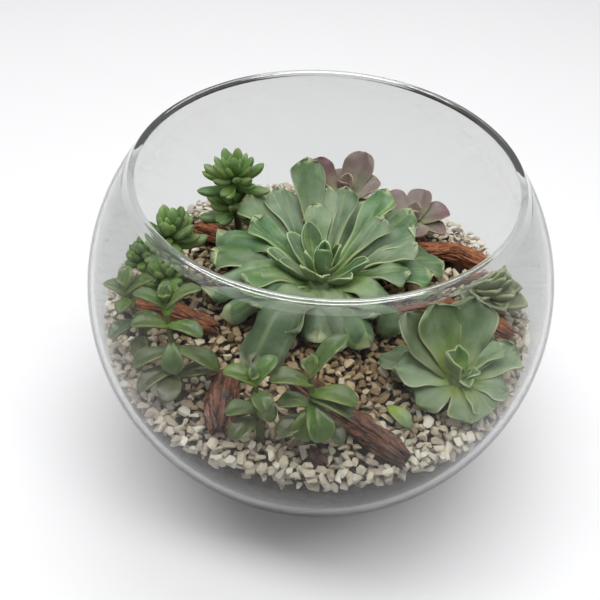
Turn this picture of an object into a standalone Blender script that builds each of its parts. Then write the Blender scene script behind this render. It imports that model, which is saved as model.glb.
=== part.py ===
"""Glass plant terrarium: a blown bubble bowl planted with succulents, driftwood and pale gravel.

Metres, +Z up. The origin is the middle of the bowl's flat base, and the viewer stands on the -Y side.
The tables of leaves are in millimetres and degrees, and MM turns them into metres.
Each piece of the real object is one closed solid, and pieces that touch keep GAP between them.
"""
import math
import random

import bmesh
import bpy
from mathutils import Vector

MM = 0.001
GAP = 0.0004
UP = Vector((0, 0, 1))
GOLDEN_ANGLE = 137.5
REACH_OF_LOWEST = 65

# The bowl: an outer sphere with a flat base, and an inner sphere whose centre lies a little higher,
# so that the wall thickens from the mouth to the base.
BOWL_RADIUS = 0.125
BASE_RADIUS = 0.049
BOWL_CENTRE = math.sqrt(BOWL_RADIUS ** 2 - BASE_RADIUS ** 2)
MOUTH_ANGLE = 38.3
INNER_RADIUS = 0.1205
INNER_CENTRE = BOWL_CENTRE + 0.003
FLOOR = 0.008
RIM_BEAD = 0.0022
TURN_STEPS = 32
STEPS_ABOVE_EQUATOR = 4
STEPS_BELOW_EQUATOR = 6

# The fill, from the bottom up. Chips and pebbles show as lumps: on top of the gravel a pitch apart, and
# on the sides of both layers by a depth. The pebbles' rows are in parts of their layer's height.
DRAINAGE_TOP = 0.026
SOIL_TOP = 0.088
GRAVEL_BED = 0.0995
GRAVEL_TOP = 0.1015
CHIP_PITCH = 0.0168
CHIP_DEPTH = 0.0030
PEBBLE_DEPTH = 0.0040
PEBBLE_ROWS = (0.33, 0.70)
LUMPY_TURN_STEPS = 2 * TURN_STEPS
HOLE_BOTTOM = 0.060
STEM_BOTTOM = HOLE_BOTTOM + GAP

# Colours
LEAF_BLUE = (0.19, 0.33, 0.22)
LEAF_PALE = (0.25, 0.36, 0.24)
LEAF_GREY = (0.22, 0.30, 0.20)
LEAF_BRIGHT = (0.13, 0.32, 0.07)
LEAF_PURPLE = (0.26, 0.17, 0.20)
WOOD_BROWN = (0.20, 0.07, 0.03)

# Leaf forms. lens gives a section that tapers to its edges, fold turns the edges down from the midrib
# (cups them, if negative), hook bends the end down, in parts of the length, and peak is how far the
# midrib reaches past the edges at the tip, in parts of the width. The outline's rows are
# (part of the length, part of the full width, part of the fold), from root to tip.
FORMS = {
    "strap": dict(lens=False, fold=26, hook=0.03, peak=0.14,
                  outline=((0, .36, .1), (.45, .6, .5), (.88, 1, 1), (1, .72, 1))),
    "flag": dict(lens=False, fold=22, hook=0.20, peak=0.16,
                 outline=((0, .35, .3), (.42, .5, .6), (.76, 1, 1), (1, .12, .5))),
    "roof": dict(lens=False, fold=44, hook=0.12, peak=-0.24,
                 outline=((0, .38, .1), (.42, .55, .5), (.8, .95, 1), (1, 1, 1.1))),
    "fan": dict(lens=False, fold=-10, hook=-0.03, peak=0.16,
                outline=((0, .25, .3), (.4, .62, .5), (.85, 1, 1), (1, .6, .8))),
    "spoon": dict(lens=True, fold=-22, hook=-0.06, peak=0.16,
                  outline=((0, .4, .3), (.66, 1, .9), (1, .3, .6))),
    "round": dict(lens=True, fold=-14, hook=-0.05, peak=0.16,
                  outline=((0, .35, .3), (.45, .8, .8), (.8, 1, 1), (1, .4, .6))),
    "pointed": dict(lens=True, fold=-22, hook=-0.04, peak=0.16,
                    outline=((0, .45, .3), (.52, 1, .9), (1, .1, .6))),
    "boat": dict(lens=True, fold=-18, hook=0.03, peak=0.16,
                 outline=((0, .22, .3), (.3, .85, .8), (.68, 1, 1), (1, .1, .6))),
}

# Rosettes: (azimuth, reach, height of the tip above the gravel, width, outline) for each leaf
CENTRE_LEAVES = (
    (104, 53, 54, 18, "strap"), (92, 47, 40, 15, "strap"), (99, 36, 36, 15, "strap"),
    (78, 48, 40, 15, "strap"), (68, 58, 25, 17, "strap"),
    (55, 56, 41, 16, "strap"), (40, 41, 37, 14, "strap"), (44, 65, 28, 20, "strap"),
    (29, 54, 32, 17, "strap"), (14, 50, 31, 17, "strap"), (4, 58, 19, 18, "strap"),
    (20, 71, 11, 20, "strap"), (353, 45, 27, 15, "strap"), (344, 25, 36, 12, "spoon"),
    (269, 7, 41, 11, "spoon"), (87, 4, 39, 9, "spoon"), (14, 9, 38, 8, "spoon"),
    (205, 11, 37, 8, "spoon"), (118, 22, 39, 13, "pointed"), (150, 24, 36, 12, "spoon"),
    (270, 16, 30, 10, "pointed"), (231, 18, 34, 10, "pointed"), (316, 22, 30, 11, "spoon"),
    (121, 55, 36, 18, "strap"), (135, 62, 32, 21, "strap"),
    (153, 43, 36, 16, "strap"), (155, 66, 20, 26, "flag"), (176, 59, 22, 21, "strap"),
    (188, 31, 36, 12, "spoon"), (200, 25, 33, 11, "pointed"), (205, 44, 27, 15, "strap"),
    (192, 62, 15, 24, "flag"), (222, 45, 21, 18, "strap"), (208, 58, 12, 26, "roof"),
    (241, 66, 5, 30, "flag"), (246, 47, 15, 18, "strap"), (270, 41, 11, 25, "roof"),
    (287, 44, 5, 18, "flag"), (318, 40, 17, 17, "strap"), (303, 49, 11, 25, "roof"),
    (331, 54, 10, 24, "flag"),
)
FRONT_RIGHT_LEAVES = (
    (150, 35, 36, 21, "fan"), (122, 29, 38, 24, "fan"), (80, 31, 38, 25, "fan"),
    (52, 27, 21, 17, "fan"), (30, 22, 24, 10, "strap"), (35, 35, 15, 22, "fan"),
    (178, 33, 12, 21, "fan"), (160, 42, 6, 18, "fan"), (188, 10, 30, 13, "spoon"),
    (110, 8, 27, 9, "spoon"), (350, 9, 18, 7, "spoon"), (290, 10, 15, 7, "spoon"),
    (215, 24, 4, 18, "fan"), (318, 20, 5, 19, "fan"), (282, 22, 4, 20, "fan"),
    (356, 24, 6, 18, "fan"),
)
PURPLE_LEFT_LEAVES = (
    (150, 23, 33, 18, "round"), (62, 24, 34, 20, "round"), (12, 22, 24, 18, "round"),
    (200, 21, 22, 16, "round"), (108, 24, 18, 17, "round"), (258, 19, 13, 14, "round"),
    (318, 22, 14, 15, "round"), (250, 6, 29, 9, "spoon"), (70, 6, 28, 9, "spoon"),
)
PURPLE_RIGHT_LEAVES = (
    (140, 20, 25, 16, "round"), (72, 20, 24, 16, "round"), (20, 23, 18, 16, "round"),
    (200, 20, 15, 15, "round"), (340, 21, 11, 14, "round"), (285, 15, 13, 13, "round"),
    (245, 5, 25, 9, "spoon"), (80, 6, 24, 9, "spoon"),
)

# Where the plants stand: (x, y) of each stem, and the radii of the stems
CENTRE_AXIS = (1, 4)
FRONT_RIGHT_AXIS = (74, -60)
BACK_RIGHT_AXIS = (91, 9)
PURPLE_LEFT_AXIS = (11, 83)
PURPLE_RIGHT_AXIS = (53, 64)
SEDUM_BACK_BASE = (-52, 61, 0)
SEDUM_LEFT_BASE = (-84, 6, 0)
ROSETTE_STEM = 0.008
PLANT_STEM = 0.005
PURPLE_STEM = 0.003
SEDUM_STEM = 0.0028
SPRAY_STEM = 0.0022

# Sedum heads: (top, leaves, first azimuth, length, width, lowest rise, highest rise, leafy part)
SEDUM_BACK_HEADS = (
    ((-54, 56, 147), 13, 205, 23, 8.5, 2, 78, 0.22),
    ((-54, 58, 126), 8, 190, 23, 9.5, -6, 30, 0.45),
)
SEDUM_LEFT_HEADS = (
    ((-83, 12, 139), 13, 100, 20, 8, 8, 82, 0.4),
    ((-97, 4, 128), 8, 140, 13, 8.5, 0, 70, 0.5),
    ((-84, -6, 122), 7, 250, 14, 9, 0, 60, 0.6),
)

# Sprays: name, base, top of the stem, and leaves (part of the stem, azimuth, rise, length, width)
SPRAYS = (
    ("spray_left_outer", (-86, -50), (-97, -43, 140), (
        (1.0, 75, 55, 13, 7), (1.0, 200, 60, 9, 5.5), (0.94, 18, 28, 17, 8), (0.93, 170, 22, 13, 7),
        (0.85, 262, 10, 13, 7), (0.75, 105, 25, 16, 9), (0.62, 335, 5, 15, 8), (0.52, 225, -5, 17, 9),
        (0.35, 60, 0, 16, 9), (0.30, 270, -5, 15, 9))),
    ("spray_left_inner", (-67, -73), (-73, -59, 148), (
        (1.0, 85, 60, 11, 5.5), (1.0, 270, 60, 9, 5.5), (0.95, 12, 32, 21, 8), (0.95, 178, 26, 18, 8),
        (0.88, 92, 40, 17, 10), (0.76, 340, 0, 19, 9), (0.74, 190, 8, 19, 9), (0.58, 282, -48, 17, 10),
        (0.50, 350, -18, 26, 10), (0.46, 200, -14, 21, 10),
        (0.28, 222, -10, 22, 10), (0.18, 262, -2, 18, 11), (0.16, 18, 2, 22, 10))),
    ("spray_front_left", (-23, -98), (-26, -97, 139), (
        (1.0, 135, 62, 9, 5.5), (1.0, 330, 60, 6, 4.5), (0.96, 176, 22, 17, 9), (0.96, 42, 40, 17, 8),
        (0.82, 300, -8, 12, 10), (0.52, 192, -2, 16, 9), (0.50, 335, -8, 10, 9), (0.34, 222, -10, 17, 10),
        (0.30, 110, 5, 14, 9))),
    ("spray_front_right", (3, -97), (-1, -97, 147), (
        (1.0, 80, 70, 11, 5.5), (1.0, 150, 40, 8, 5.5), (0.97, 32, 44, 26, 9), (0.85, 180, 4, 20, 10),
        (0.72, 352, -4, 22, 11), (0.66, 345, -14, 21, 10),
        (0.58, 292, -34, 19, 13), (0.52, 252, -42, 17, 11), (0.56, 183, -2, 17, 9),
        (0.34, 212, -6, 20, 10), (0.36, 322, -12, 20, 10), (0.30, 60, 2, 15, 9))),
)

# Driftwood: name, points along it, radius, and height of the section in parts of its width
DRIFTWOOD = (
    ("driftwood_front", ((-12, -57, 103), (15, -82, 105.5), (46, -105, 103.5)), 6.0, 0.85),
    ("driftwood_front_left", ((-44, -62, 104), (-44, -80, 107), (-43, -97, 104)), 7.0, 0.75),
    ("driftwood_right", ((31, -9, 104), (66, -8, 107), (104, -21, 104.5)), 6.0, 0.95),
    ("driftwood_back_right", ((52, 46, 104), (76, 47, 107), (98, 40, 104)), 5.5, 0.95),
    ("driftwood_back_left", ((-78, 57, 104), (-58, 45, 107), (-40, 34, 105)), 5.5, 0.9),
    ("driftwood_left", ((-108, -14, 104), (-80, -22, 107), (-55, -29, 104)), 6.5, 0.7),
    ("driftwood_twig", ((1, -104, 103.2), (9, -111, 101.6)), 2.4, 1.0),
)


def clear_scene():
    """Remove whatever the scene holds."""
    for old in list(bpy.data.objects):
        bpy.data.objects.remove(old, do_unlink=True)


def new_collection(name):
    """Make a collection in the scene."""
    made = bpy.data.collections.new(name)
    bpy.context.scene.collection.children.link(made)
    return made


def plain_material(name, colour, roughness, metallic=0.0):
    """A Principled material with one colour."""
    material = bpy.data.materials.new(name)
    material.use_nodes = True
    shader = material.node_tree.nodes["Principled BSDF"]
    shader.inputs["Base Color"].default_value = (*colour, 1)
    shader.inputs["Roughness"].default_value = roughness
    shader.inputs["Metallic"].default_value = metallic
    return material


def object_from(name, bm, collection):
    """Turn a bmesh into an object of a collection."""
    bmesh.ops.recalc_face_normals(bm, faces=bm.faces[:])
    mesh = bpy.data.meshes.new(name)
    bm.to_mesh(mesh)
    bm.free()
    made = bpy.data.objects.new(name, mesh)
    collection.objects.link(made)
    return made


def apply_modifiers(obj):
    """Replace an object's mesh by what its modifiers make of it."""
    graph = bpy.context.evaluated_depsgraph_get()
    graph.update()
    mesh = bpy.data.meshes.new_from_object(obj.evaluated_get(graph))
    obj.modifiers.clear()
    obj.data = mesh


def largest_body(mesh):
    """Drop sealed hollows and loose scraps: keep only the body with the most faces."""
    bm = bmesh.new()
    bm.from_mesh(mesh)
    bmesh.ops.dissolve_limit(bm, angle_limit=0.002, verts=bm.verts[:], edges=bm.edges[:])
    bmesh.ops.triangulate(bm, faces=bm.faces[:])
    bmesh.ops.dissolve_degenerate(bm, edges=bm.edges[:], dist=1e-6)
    unseen = set(bm.faces)
    bodies = []
    while unseen:
        front = [unseen.pop()]
        body = list(front)
        while front:
            for edge in front.pop().edges:
                for face in edge.link_faces:
                    if face in unseen:
                        unseen.remove(face)
                        body.append(face)
                        front.append(face)
        bodies.append(body)
    bodies.sort(key=len, reverse=True)
    for body in bodies[1:]:
        bmesh.ops.delete(bm, geom=body, context="FACES")
    bm.to_mesh(mesh)
    bm.free()


def combine(target, tools, operation, solver="EXACT"):
    """Join or cut a target with every object of a collection, then remove those objects."""
    boolean = target.modifiers.new(operation.lower(), "BOOLEAN")
    boolean.operand_type = "COLLECTION"
    boolean.collection = tools
    boolean.operation = operation
    boolean.solver = solver
    apply_modifiers(target)
    for tool in list(tools.objects):
        bpy.data.objects.remove(tool, do_unlink=True)
    bpy.data.collections.remove(tools)
    largest_body(target.data)


def fuse(name, pieces, material, solver="EXACT"):
    """Fuse a plant's pieces into one body. The first piece is the one that the others grow from."""
    body = pieces[0]
    tools = new_collection(name + " pieces")
    for piece in pieces[1:]:
        for holder in list(piece.users_collection):
            holder.objects.unlink(piece)
        tools.objects.link(piece)
    combine(body, tools, "UNION", solver)
    body.name = body.data.name = name
    body.data.materials.clear()
    body.data.materials.append(material)
    return body


# ---------------------------------------------------------------- turned pieces

def wall_angles(top, bottom):
    """Latitudes of the wall's stations, from the top down, with one on the equator."""
    above = [top * (1 - i / STEPS_ABOVE_EQUATOR) for i in range(STEPS_ABOVE_EQUATOR)]
    return above + [bottom * i / STEPS_BELOW_EQUATOR for i in range(STEPS_BELOW_EQUATOR + 1)]


def inner_stations(shrink=0.0):
    """Points (radius, height) of the bowl's inner wall, from the floor's edge to the mouth."""
    radius = INNER_RADIUS - shrink
    lowest = math.asin((FLOOR - INNER_CENTRE) / INNER_RADIUS)
    highest = math.radians(MOUTH_ANGLE - 2.0)
    angles = wall_angles(highest, lowest)[::-1]
    return [(radius * math.cos(a), INNER_CENTRE + radius * math.sin(a)) for a in angles]


def radius_at(stations, height):
    """The wall's radius at a height, on the straight runs between its stations."""
    for (r0, z0), (r1, z1) in zip(stations, stations[1:]):
        if z0 <= height <= z1:
            return r0 + (r1 - r0) * (height - z0) / (z1 - z0)
    return stations[0][0]


def turned(name, profile, collection, steps=TURN_STEPS):
    """Turn a profile of (radius, height) points about the Z axis with a Screw modifier."""
    bm = bmesh.new()
    verts = [bm.verts.new((r, 0, z)) for r, z in profile]
    for a, b in zip(verts, verts[1:]):
        bm.edges.new((a, b))
    mesh = bpy.data.meshes.new(name)
    bm.to_mesh(mesh)
    bm.free()
    made = bpy.data.objects.new(name, mesh)
    collection.objects.link(made)
    screw = made.modifiers.new("turn", "SCREW")
    screw.steps = screw.render_steps = steps
    screw.use_merge_vertices = True
    screw.merge_threshold = 0.00005
    return made


def glass_bowl(collection):
    """The bowl: inner floor and wall, rolled rim, outer wall and flat base."""
    bead_angle = math.radians(MOUTH_ANGLE)
    bead_distance = BOWL_RADIUS - 0.0018
    bead = (bead_distance * math.cos(bead_angle), BOWL_CENTRE + bead_distance * math.sin(bead_angle))
    turns = [math.radians(MOUTH_ANGLE + 215 - 47 * i) for i in range(6)]
    rim = [(bead[0] + RIM_BEAD * math.cos(a), bead[1] + RIM_BEAD * math.sin(a)) for a in turns]
    top = math.radians(MOUTH_ANGLE - 2.5)
    bottom = -math.acos(BASE_RADIUS / BOWL_RADIUS)
    outer = [(BOWL_RADIUS * math.cos(a), BOWL_CENTRE + BOWL_RADIUS * math.sin(a))
             for a in wall_angles(top, bottom)]
    outer[-1] = (BASE_RADIUS, 0)
    profile = [(0, FLOOR)] + inner_stations() + rim + outer + [(0, 0)]
    bowl = turned("glass_bowl", profile, collection)
    bowl.data.materials.append(plain_material("clear glass", (0.86, 0.9, 0.9), 0.03))
    return bowl


def fill_layer(name, bottom, top, collection, steps=TURN_STEPS, rows=()):
    """A layer that fills the bowl from one height to another, a gap inside its wall. Its side takes
    the wall's stations, or the rows of heights given."""
    wall = inner_stations(GAP)
    side = [(radius_at(wall, z), z) for z in rows] or [(r, z) for r, z in wall if bottom < z < top]
    edge = [(radius_at(wall, bottom), bottom)] + side + [(radius_at(wall, top), top)]
    return turned(name, [(0, top)] + edge[::-1] + [(0, bottom)], collection, steps)


def make_lumpy(layer, depth, seed):
    """Press a layer's side in and out into lumps, a column and a row apart, as grains lie on glass.
    A column between the wall's corners stays in by at least the wall's sagitta."""
    draw = random.Random(seed)
    apply_modifiers(layer)
    levels = sorted({round(vert.co.z, 5) for vert in layer.data.vertices})
    for vert in layer.data.vertices:
        radius = math.hypot(vert.co.x, vert.co.y)
        if radius < depth:
            continue
        column = round(math.atan2(vert.co.y, vert.co.x) * LUMPY_TURN_STEPS / (2 * math.pi))
        inward = (column + levels.index(round(vert.co.z, 5))) % 2
        least = radius * (1 - math.cos(math.pi / TURN_STEPS)) if column % 2 else 0
        press = max(least, depth * (draw.uniform(0.7, 1) if inward else draw.uniform(0, 0.12)))
        vert.co.x *= 1 - press / radius
        vert.co.y *= 1 - press / radius


# ---------------------------------------------------------------- leaves and stems

def direction(azimuth, rise=0.0):
    """The unit vector at an azimuth and a rise, in degrees."""
    turn, lift = math.radians(azimuth), math.radians(rise)
    return Vector((math.cos(lift) * math.cos(turn), math.cos(lift) * math.sin(turn), math.sin(lift)))


def leaf_places(root, tip, bow, hook, parts):
    """Points along a leaf that bows up from its chord and whose end turns down by its hook."""
    chord = tip - root
    side = UP.cross(Vector((chord.x, chord.y, 0))).normalized()
    normal = chord.normalized().cross(side)
    middle = (root + tip) / 2 + normal * bow * 2
    places = []
    for s in parts:
        lift = chord.length * hook * (math.sin(math.pi * s) ** 2 if s < 0.5 else 1 - ((s - 0.5) / 0.5) ** 2)
        places.append(root.lerp(middle, s).lerp(middle.lerp(tip, s), s) + normal * lift)
    return places, side


def skin(bm, rings, odd_diagonals=()):
    """Join rings of vertices by triangles. On the listed sides the diagonal runs the other way."""
    for a, b in zip(rings, rings[1:]):
        for i in range(len(a)):
            j = (i + 1) % len(a)
            if i in odd_diagonals:
                bm.faces.new((a[i], a[j], b[i]))
                bm.faces.new((a[j], b[j], b[i]))
            else:
                bm.faces.new((a[i], a[j], b[j]))
                bm.faces.new((a[i], b[j], b[i]))


def leaf(collection, root, tip, width, form, bow=0.0, thick=0.0022):
    """A succulent leaf, folded along its midrib. Its edge is sharp (a lens) or 0.8 mm thick."""
    shape = FORMS[form]
    outline = shape["outline"]
    places, side = leaf_places(root, tip, bow, shape["hook"], [row[0] for row in outline])
    bm = bmesh.new()
    rings = []
    for i, (_, wide, bend) in enumerate(outline):
        along = (places[min(i + 1, len(places) - 1)] - places[max(i - 1, 0)]).normalized()
        normal = along.cross(side)
        turn = math.radians(shape["fold"] * bend)
        half = width / 2 * wide
        last = i == len(outline) - 1
        out = side * half * math.cos(turn)
        shift = along * width * shape["peak"] / 2 if last else Vector()
        middle = places[i] + shift
        edge = places[i] - shift - normal * half * math.sin(turn)
        deep = normal * thick * (0.3 if last else 0.5)
        thin = normal * 0.0004
        if shape["lens"]:
            ring = (edge + out, middle + deep, edge - out, middle - deep)
        else:
            ring = (edge + out + thin, middle + deep, edge - out + thin,
                    edge - out - thin, middle - deep, edge + out - thin)
        rings.append([bm.verts.new(point) for point in ring])
    skin(bm, rings, (1, 3) if shape["lens"] else (1, 4))
    for ring in (rings[0], rings[-1]):
        if shape["lens"]:
            bm.faces.new(ring)
        else:
            bm.faces.new((ring[0], ring[1], ring[4], ring[5]))
            bm.faces.new((ring[1], ring[2], ring[3], ring[4]))
    return object_from("leaf", bm, collection)


def finger_leaf(collection, root, tip, width, bow=0.0, sides=5, blunt=0.65):
    """A plump leaf, round in section, with a short point."""
    rows = ((0, .38), (.5, 1), (.88, blunt))
    places, side = leaf_places(root, tip, bow, 0.0, [row[0] for row in rows])
    along = (tip - root).normalized()
    normal = along.cross(side)
    bm = bmesh.new()
    rings = []
    for place, (_, wide) in zip(places, rows):
        turns = [2 * math.pi * k / sides for k in range(sides)]
        rings.append([bm.verts.new(place + side * (width / 2 * wide * math.cos(a))
                                   + normal * (width * 0.40 * wide * math.sin(a))) for a in turns])
    for a, b in zip(rings, rings[1:]):
        for i in range(sides):
            bm.faces.new((a[i], a[(i + 1) % sides], b[(i + 1) % sides], b[i]))
    apex = bm.verts.new(tip)
    for i in range(sides):
        bm.faces.new((rings[-1][i], rings[-1][(i + 1) % sides], apex))
    bm.faces.new(rings[0][::-1])
    return object_from("leaf", bm, collection)


def stem(collection, points, radii, roundness=0):
    """A tapering stem: a bevelled curve with closed ends, made a mesh. Roundness 0 has four sides."""
    curve = bpy.data.curves.new("stem", "CURVE")
    curve.dimensions = "3D"
    curve.bevel_depth = 1.0
    curve.bevel_resolution = roundness
    curve.use_fill_caps = True
    spline = curve.splines.new("POLY")
    spline.points.add(len(points) - 1)
    for target, point, radius in zip(spline.points, points, radii):
        target.co = (*point, 1)
        target.radius = radius
    source = bpy.data.objects.new("stem", curve)
    collection.objects.link(source)
    graph = bpy.context.evaluated_depsgraph_get()
    graph.update()
    mesh = bpy.data.meshes.new_from_object(source.evaluated_get(graph))
    bm = bmesh.new()
    bm.from_mesh(mesh)
    bmesh.ops.remove_doubles(bm, verts=bm.verts[:], dist=0.00002)
    bpy.data.objects.remove(source, do_unlink=True)
    return object_from("stem", bm, collection)


def crown(collection, centre, radius, height):
    """The low dome that a rosette's leaves grow from."""
    bm = bmesh.new()
    bmesh.ops.create_uvsphere(bm, u_segments=8, v_segments=5, radius=radius)
    bmesh.ops.scale(bm, vec=(1, 1, height / radius), verts=bm.verts[:])
    bmesh.ops.translate(bm, vec=centre, verts=bm.verts[:])
    return object_from("crown", bm, collection)


# ---------------------------------------------------------------- plants

def rosette(name, collection, axis, core, leaves, material, stem_radius, solver="EXACT"):
    """A rosette: a stem in the soil, a core (its height above the gravel, radius and half height),
    and leaves whose roots sit lower the further they reach."""
    x, y = axis[0] * MM, axis[1] * MM
    top = GRAVEL_TOP + core[0] * MM
    pieces = [crown(collection, (x, y, top), core[1] * MM, core[2] * MM),
              stem(collection, [Vector((x, y, STEM_BOTTOM)), Vector((x, y, top))], [stem_radius] * 2, 1)]
    for azimuth, reach, height, width, form in leaves:
        out = direction(azimuth)
        root = Vector((x, y, top + 0.006 - 0.012 * reach / REACH_OF_LOWEST)) + out * 0.0015
        tip = Vector((x, y, GRAVEL_TOP + height * MM)) + out * reach * MM
        bow = reach * (0.14 - 0.0055 * height) * MM
        pieces.append(leaf(collection, root, tip, width * MM, form, bow, 0.0026))
    return fuse(name, pieces, material, solver)


def golden_leaves(count, first, reach, height, width, form):
    """Leaves by the golden angle, from the innermost to the outermost: (inner, outer) sizes."""
    rows = []
    for i in range(count):
        t = i / (count - 1)
        sizes = [low + (high - low) * t for low, high in (reach, height, width)]
        rows.append((first + GOLDEN_ANGLE * i, *sizes, form))
    return tuple(rows)


def sedum(name, collection, base, heads, material):
    """A leafy stem for each head: (top, leaves, first azimuth, length, width, rise of the lowest and
    the uppermost leaf, and the part of the stem that carries leaves)."""
    foot = Vector(base) * MM
    foot.z = STEM_BOTTOM
    collar = Vector((foot.x, foot.y, GRAVEL_TOP + 0.002))
    pieces = [stem(collection, [foot, collar], [0.0028, 0.0028])]
    for top, count, first, length, width, low_rise, high_rise, leafy in heads:
        head = Vector(top) * MM
        pieces.append(stem(collection, [collar - UP * 0.004, collar.lerp(head, 0.5), head],
                           [0.0022, 0.002, 0.0016]))
        for i in range(count):
            t = i / max(count - 1, 1)
            root = collar.lerp(head, 1 - leafy * (1 - t))
            rise = low_rise + (high_rise - low_rise) * t ** 1.5
            size = length * (1 - 0.35 * t) * MM
            tip = root + direction(first + GOLDEN_ANGLE * i, rise) * size
            pieces.append(finger_leaf(collection, root, tip, width * (1 - 0.2 * t) * MM, -0.08 * size))
    return fuse(name, pieces, material)


def spray(name, collection, base, head, leaves, material):
    """An upright stem with boat-shaped leaves: (part of the stem, azimuth, rise, length, width)."""
    foot = Vector((base[0] * MM, base[1] * MM, STEM_BOTTOM))
    collar = Vector((foot.x, foot.y, GRAVEL_TOP))
    top = Vector(head) * MM
    pieces = [stem(collection, [foot, collar, collar.lerp(top, 0.5), top],
                   [SPRAY_STEM, SPRAY_STEM, 0.0017, 0.0014])]
    for part, azimuth, rise, length, width in leaves:
        root = collar.lerp(top, part) - direction(azimuth) * 0.0008
        tip = root + direction(azimuth, rise) * length * MM
        pieces.append(leaf(collection, root, tip, width * MM, "boat", 0.07 * length * MM, 0.0026))
    return fuse(name, pieces, material)


# ---------------------------------------------------------------- driftwood and gravel

def driftwood(name, collection, points, radius, flatness, seed, material):
    """A broken, grooved piece of wood: a loft of uneven rings along a bent line."""
    draw = random.Random(seed)
    line = [Vector(point) * MM for point in points]
    runs = [(b - a).length for a, b in zip(line, line[1:])]
    sides, count = 8, 6
    grooves = [draw.uniform(0.78, 1.12) for _ in range(sides)]
    bm = bmesh.new()
    rings = []
    for i in range(count):
        at = sum(runs) * i / (count - 1)
        leg = 0
        while leg < len(runs) - 1 and at > runs[leg]:
            at -= runs[leg]
            leg += 1
        place = line[leg].lerp(line[leg + 1], min(at / runs[leg], 1))
        along = (line[leg + 1] - line[leg]).normalized()
        side = along.cross(UP).normalized()
        rise = side.cross(along)
        swell = radius * MM * (0.62 if i in (0, count - 1) else draw.uniform(0.85, 1.1))
        ring = []
        for k in range(sides):
            a = 2 * math.pi * (k + 0.12 * i) / sides
            reach = swell * grooves[k] * draw.uniform(0.92, 1.08)
            slant = along * draw.uniform(-0.35, 0.35) * radius * MM if i in (0, count - 1) else Vector()
            ring.append(bm.verts.new(place + slant + side * reach * math.cos(a)
                                     + rise * reach * flatness * math.sin(a)))
        rings.append(ring)
    skin(bm, rings)
    for ring in (rings[0], rings[-1]):
        bm.faces.new(ring)
    bmesh.ops.triangulate(bm, faces=bm.faces[:])
    made = object_from(name, bm, collection)
    made.data.materials.append(material)
    return made


def swollen_copy(source, collection):
    """A cutter a gap larger than a piece all over, for the pocket that it lies in."""
    cutter = bpy.data.objects.new(source.name + " pocket", source.data.copy())
    collection.objects.link(cutter)
    swell = cutter.modifiers.new("swell", "DISPLACE")
    swell.strength = 1.5 * GAP
    swell.mid_level = 0
    apply_modifiers(cutter)
    return cutter


def stem_hole(collection, axis, radius, top):
    """A cutter for the plain six-sided hole that a stem stands in, clear of it at its flats."""
    corner = radius / math.cos(math.pi / 6)
    bm = bmesh.new()
    bmesh.ops.create_cone(bm, cap_ends=True, segments=6, radius1=corner, radius2=corner,
                          depth=top - HOLE_BOTTOM)
    middle = (axis[0] * MM, axis[1] * MM, (top + HOLE_BOTTOM) / 2)
    bmesh.ops.translate(bm, vec=middle, verts=bm.verts[:])
    return object_from("hole", bm, collection)


def chip_relief(collection):
    """A slab whose top is a tiling of hexagonal chips, each raised to an uneven point."""
    draw = random.Random(7)
    pitch = CHIP_PITCH / math.sqrt(3)
    reach = BOWL_RADIUS + CHIP_PITCH
    steps = range(-int(2 * reach / pitch), int(2 * reach / pitch) + 1)
    bm = bmesh.new()
    points = {}
    for j in steps:
        for i in steps:
            x, y = pitch * (i + j / 2), pitch * j * math.sqrt(3) / 2
            if abs(x) > reach or abs(y) > reach:
                continue
            peak = (i - j) % 3 == 0
            low, high, shift = (0.0013, 0.0034, 0.34) if peak else (-0.0012, 0.0008, 0.16)
            points[i, j] = bm.verts.new((x + pitch * draw.uniform(-shift, shift),
                                         y + pitch * draw.uniform(-shift, shift),
                                         GRAVEL_BED + draw.uniform(low, high)))
    for (i, j), vert in points.items():
        right, above, below = points.get((i + 1, j)), points.get((i, j + 1)), points.get((i + 1, j - 1))
        if right and above:
            bm.faces.new((vert, right, above))
        if right and below:
            bm.faces.new((right, vert, below))
    extruded = bmesh.ops.extrude_face_region(bm, geom=bm.faces[:])
    for item in extruded["geom"]:
        if isinstance(item, bmesh.types.BMVert):
            item.co.z = SOIL_TOP - 0.005
    return object_from("relief", bm, collection)


def gravel_bed(collection, holes, lying, material):
    """The top dressing: chips across the bowl, with holes for stems and pockets for what lies in it."""
    bed = fill_layer("gravel", SOIL_TOP + GAP, GRAVEL_BED + 0.006, collection, LUMPY_TURN_STEPS)
    make_lumpy(bed, CHIP_DEPTH, 8)
    slab = new_collection("gravel slab")
    chip_relief(slab)
    combine(bed, slab, "INTERSECT")
    cutters = new_collection("gravel cutters")
    for axis, radius in holes:
        stem_hole(cutters, axis, radius + GAP, GRAVEL_TOP + 0.008)
    for piece in lying:
        swollen_copy(piece, cutters)
    combine(bed, cutters, "DIFFERENCE")
    bed.data.materials.clear()
    bed.data.materials.append(material)
    return bed


def soil(collection, holes, material):
    """Potting soil under the gravel, with a blind hole for each stem."""
    made = fill_layer("potting_soil", DRAINAGE_TOP + GAP, SOIL_TOP, collection)
    apply_modifiers(made)
    cutters = new_collection("soil cutters")
    for axis, radius in holes:
        stem_hole(cutters, axis, radius + GAP, SOIL_TOP + 0.01)
    combine(made, cutters, "DIFFERENCE")
    made.data.materials.clear()
    made.data.materials.append(material)
    return made


# ---------------------------------------------------------------- the whole terrarium

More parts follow.
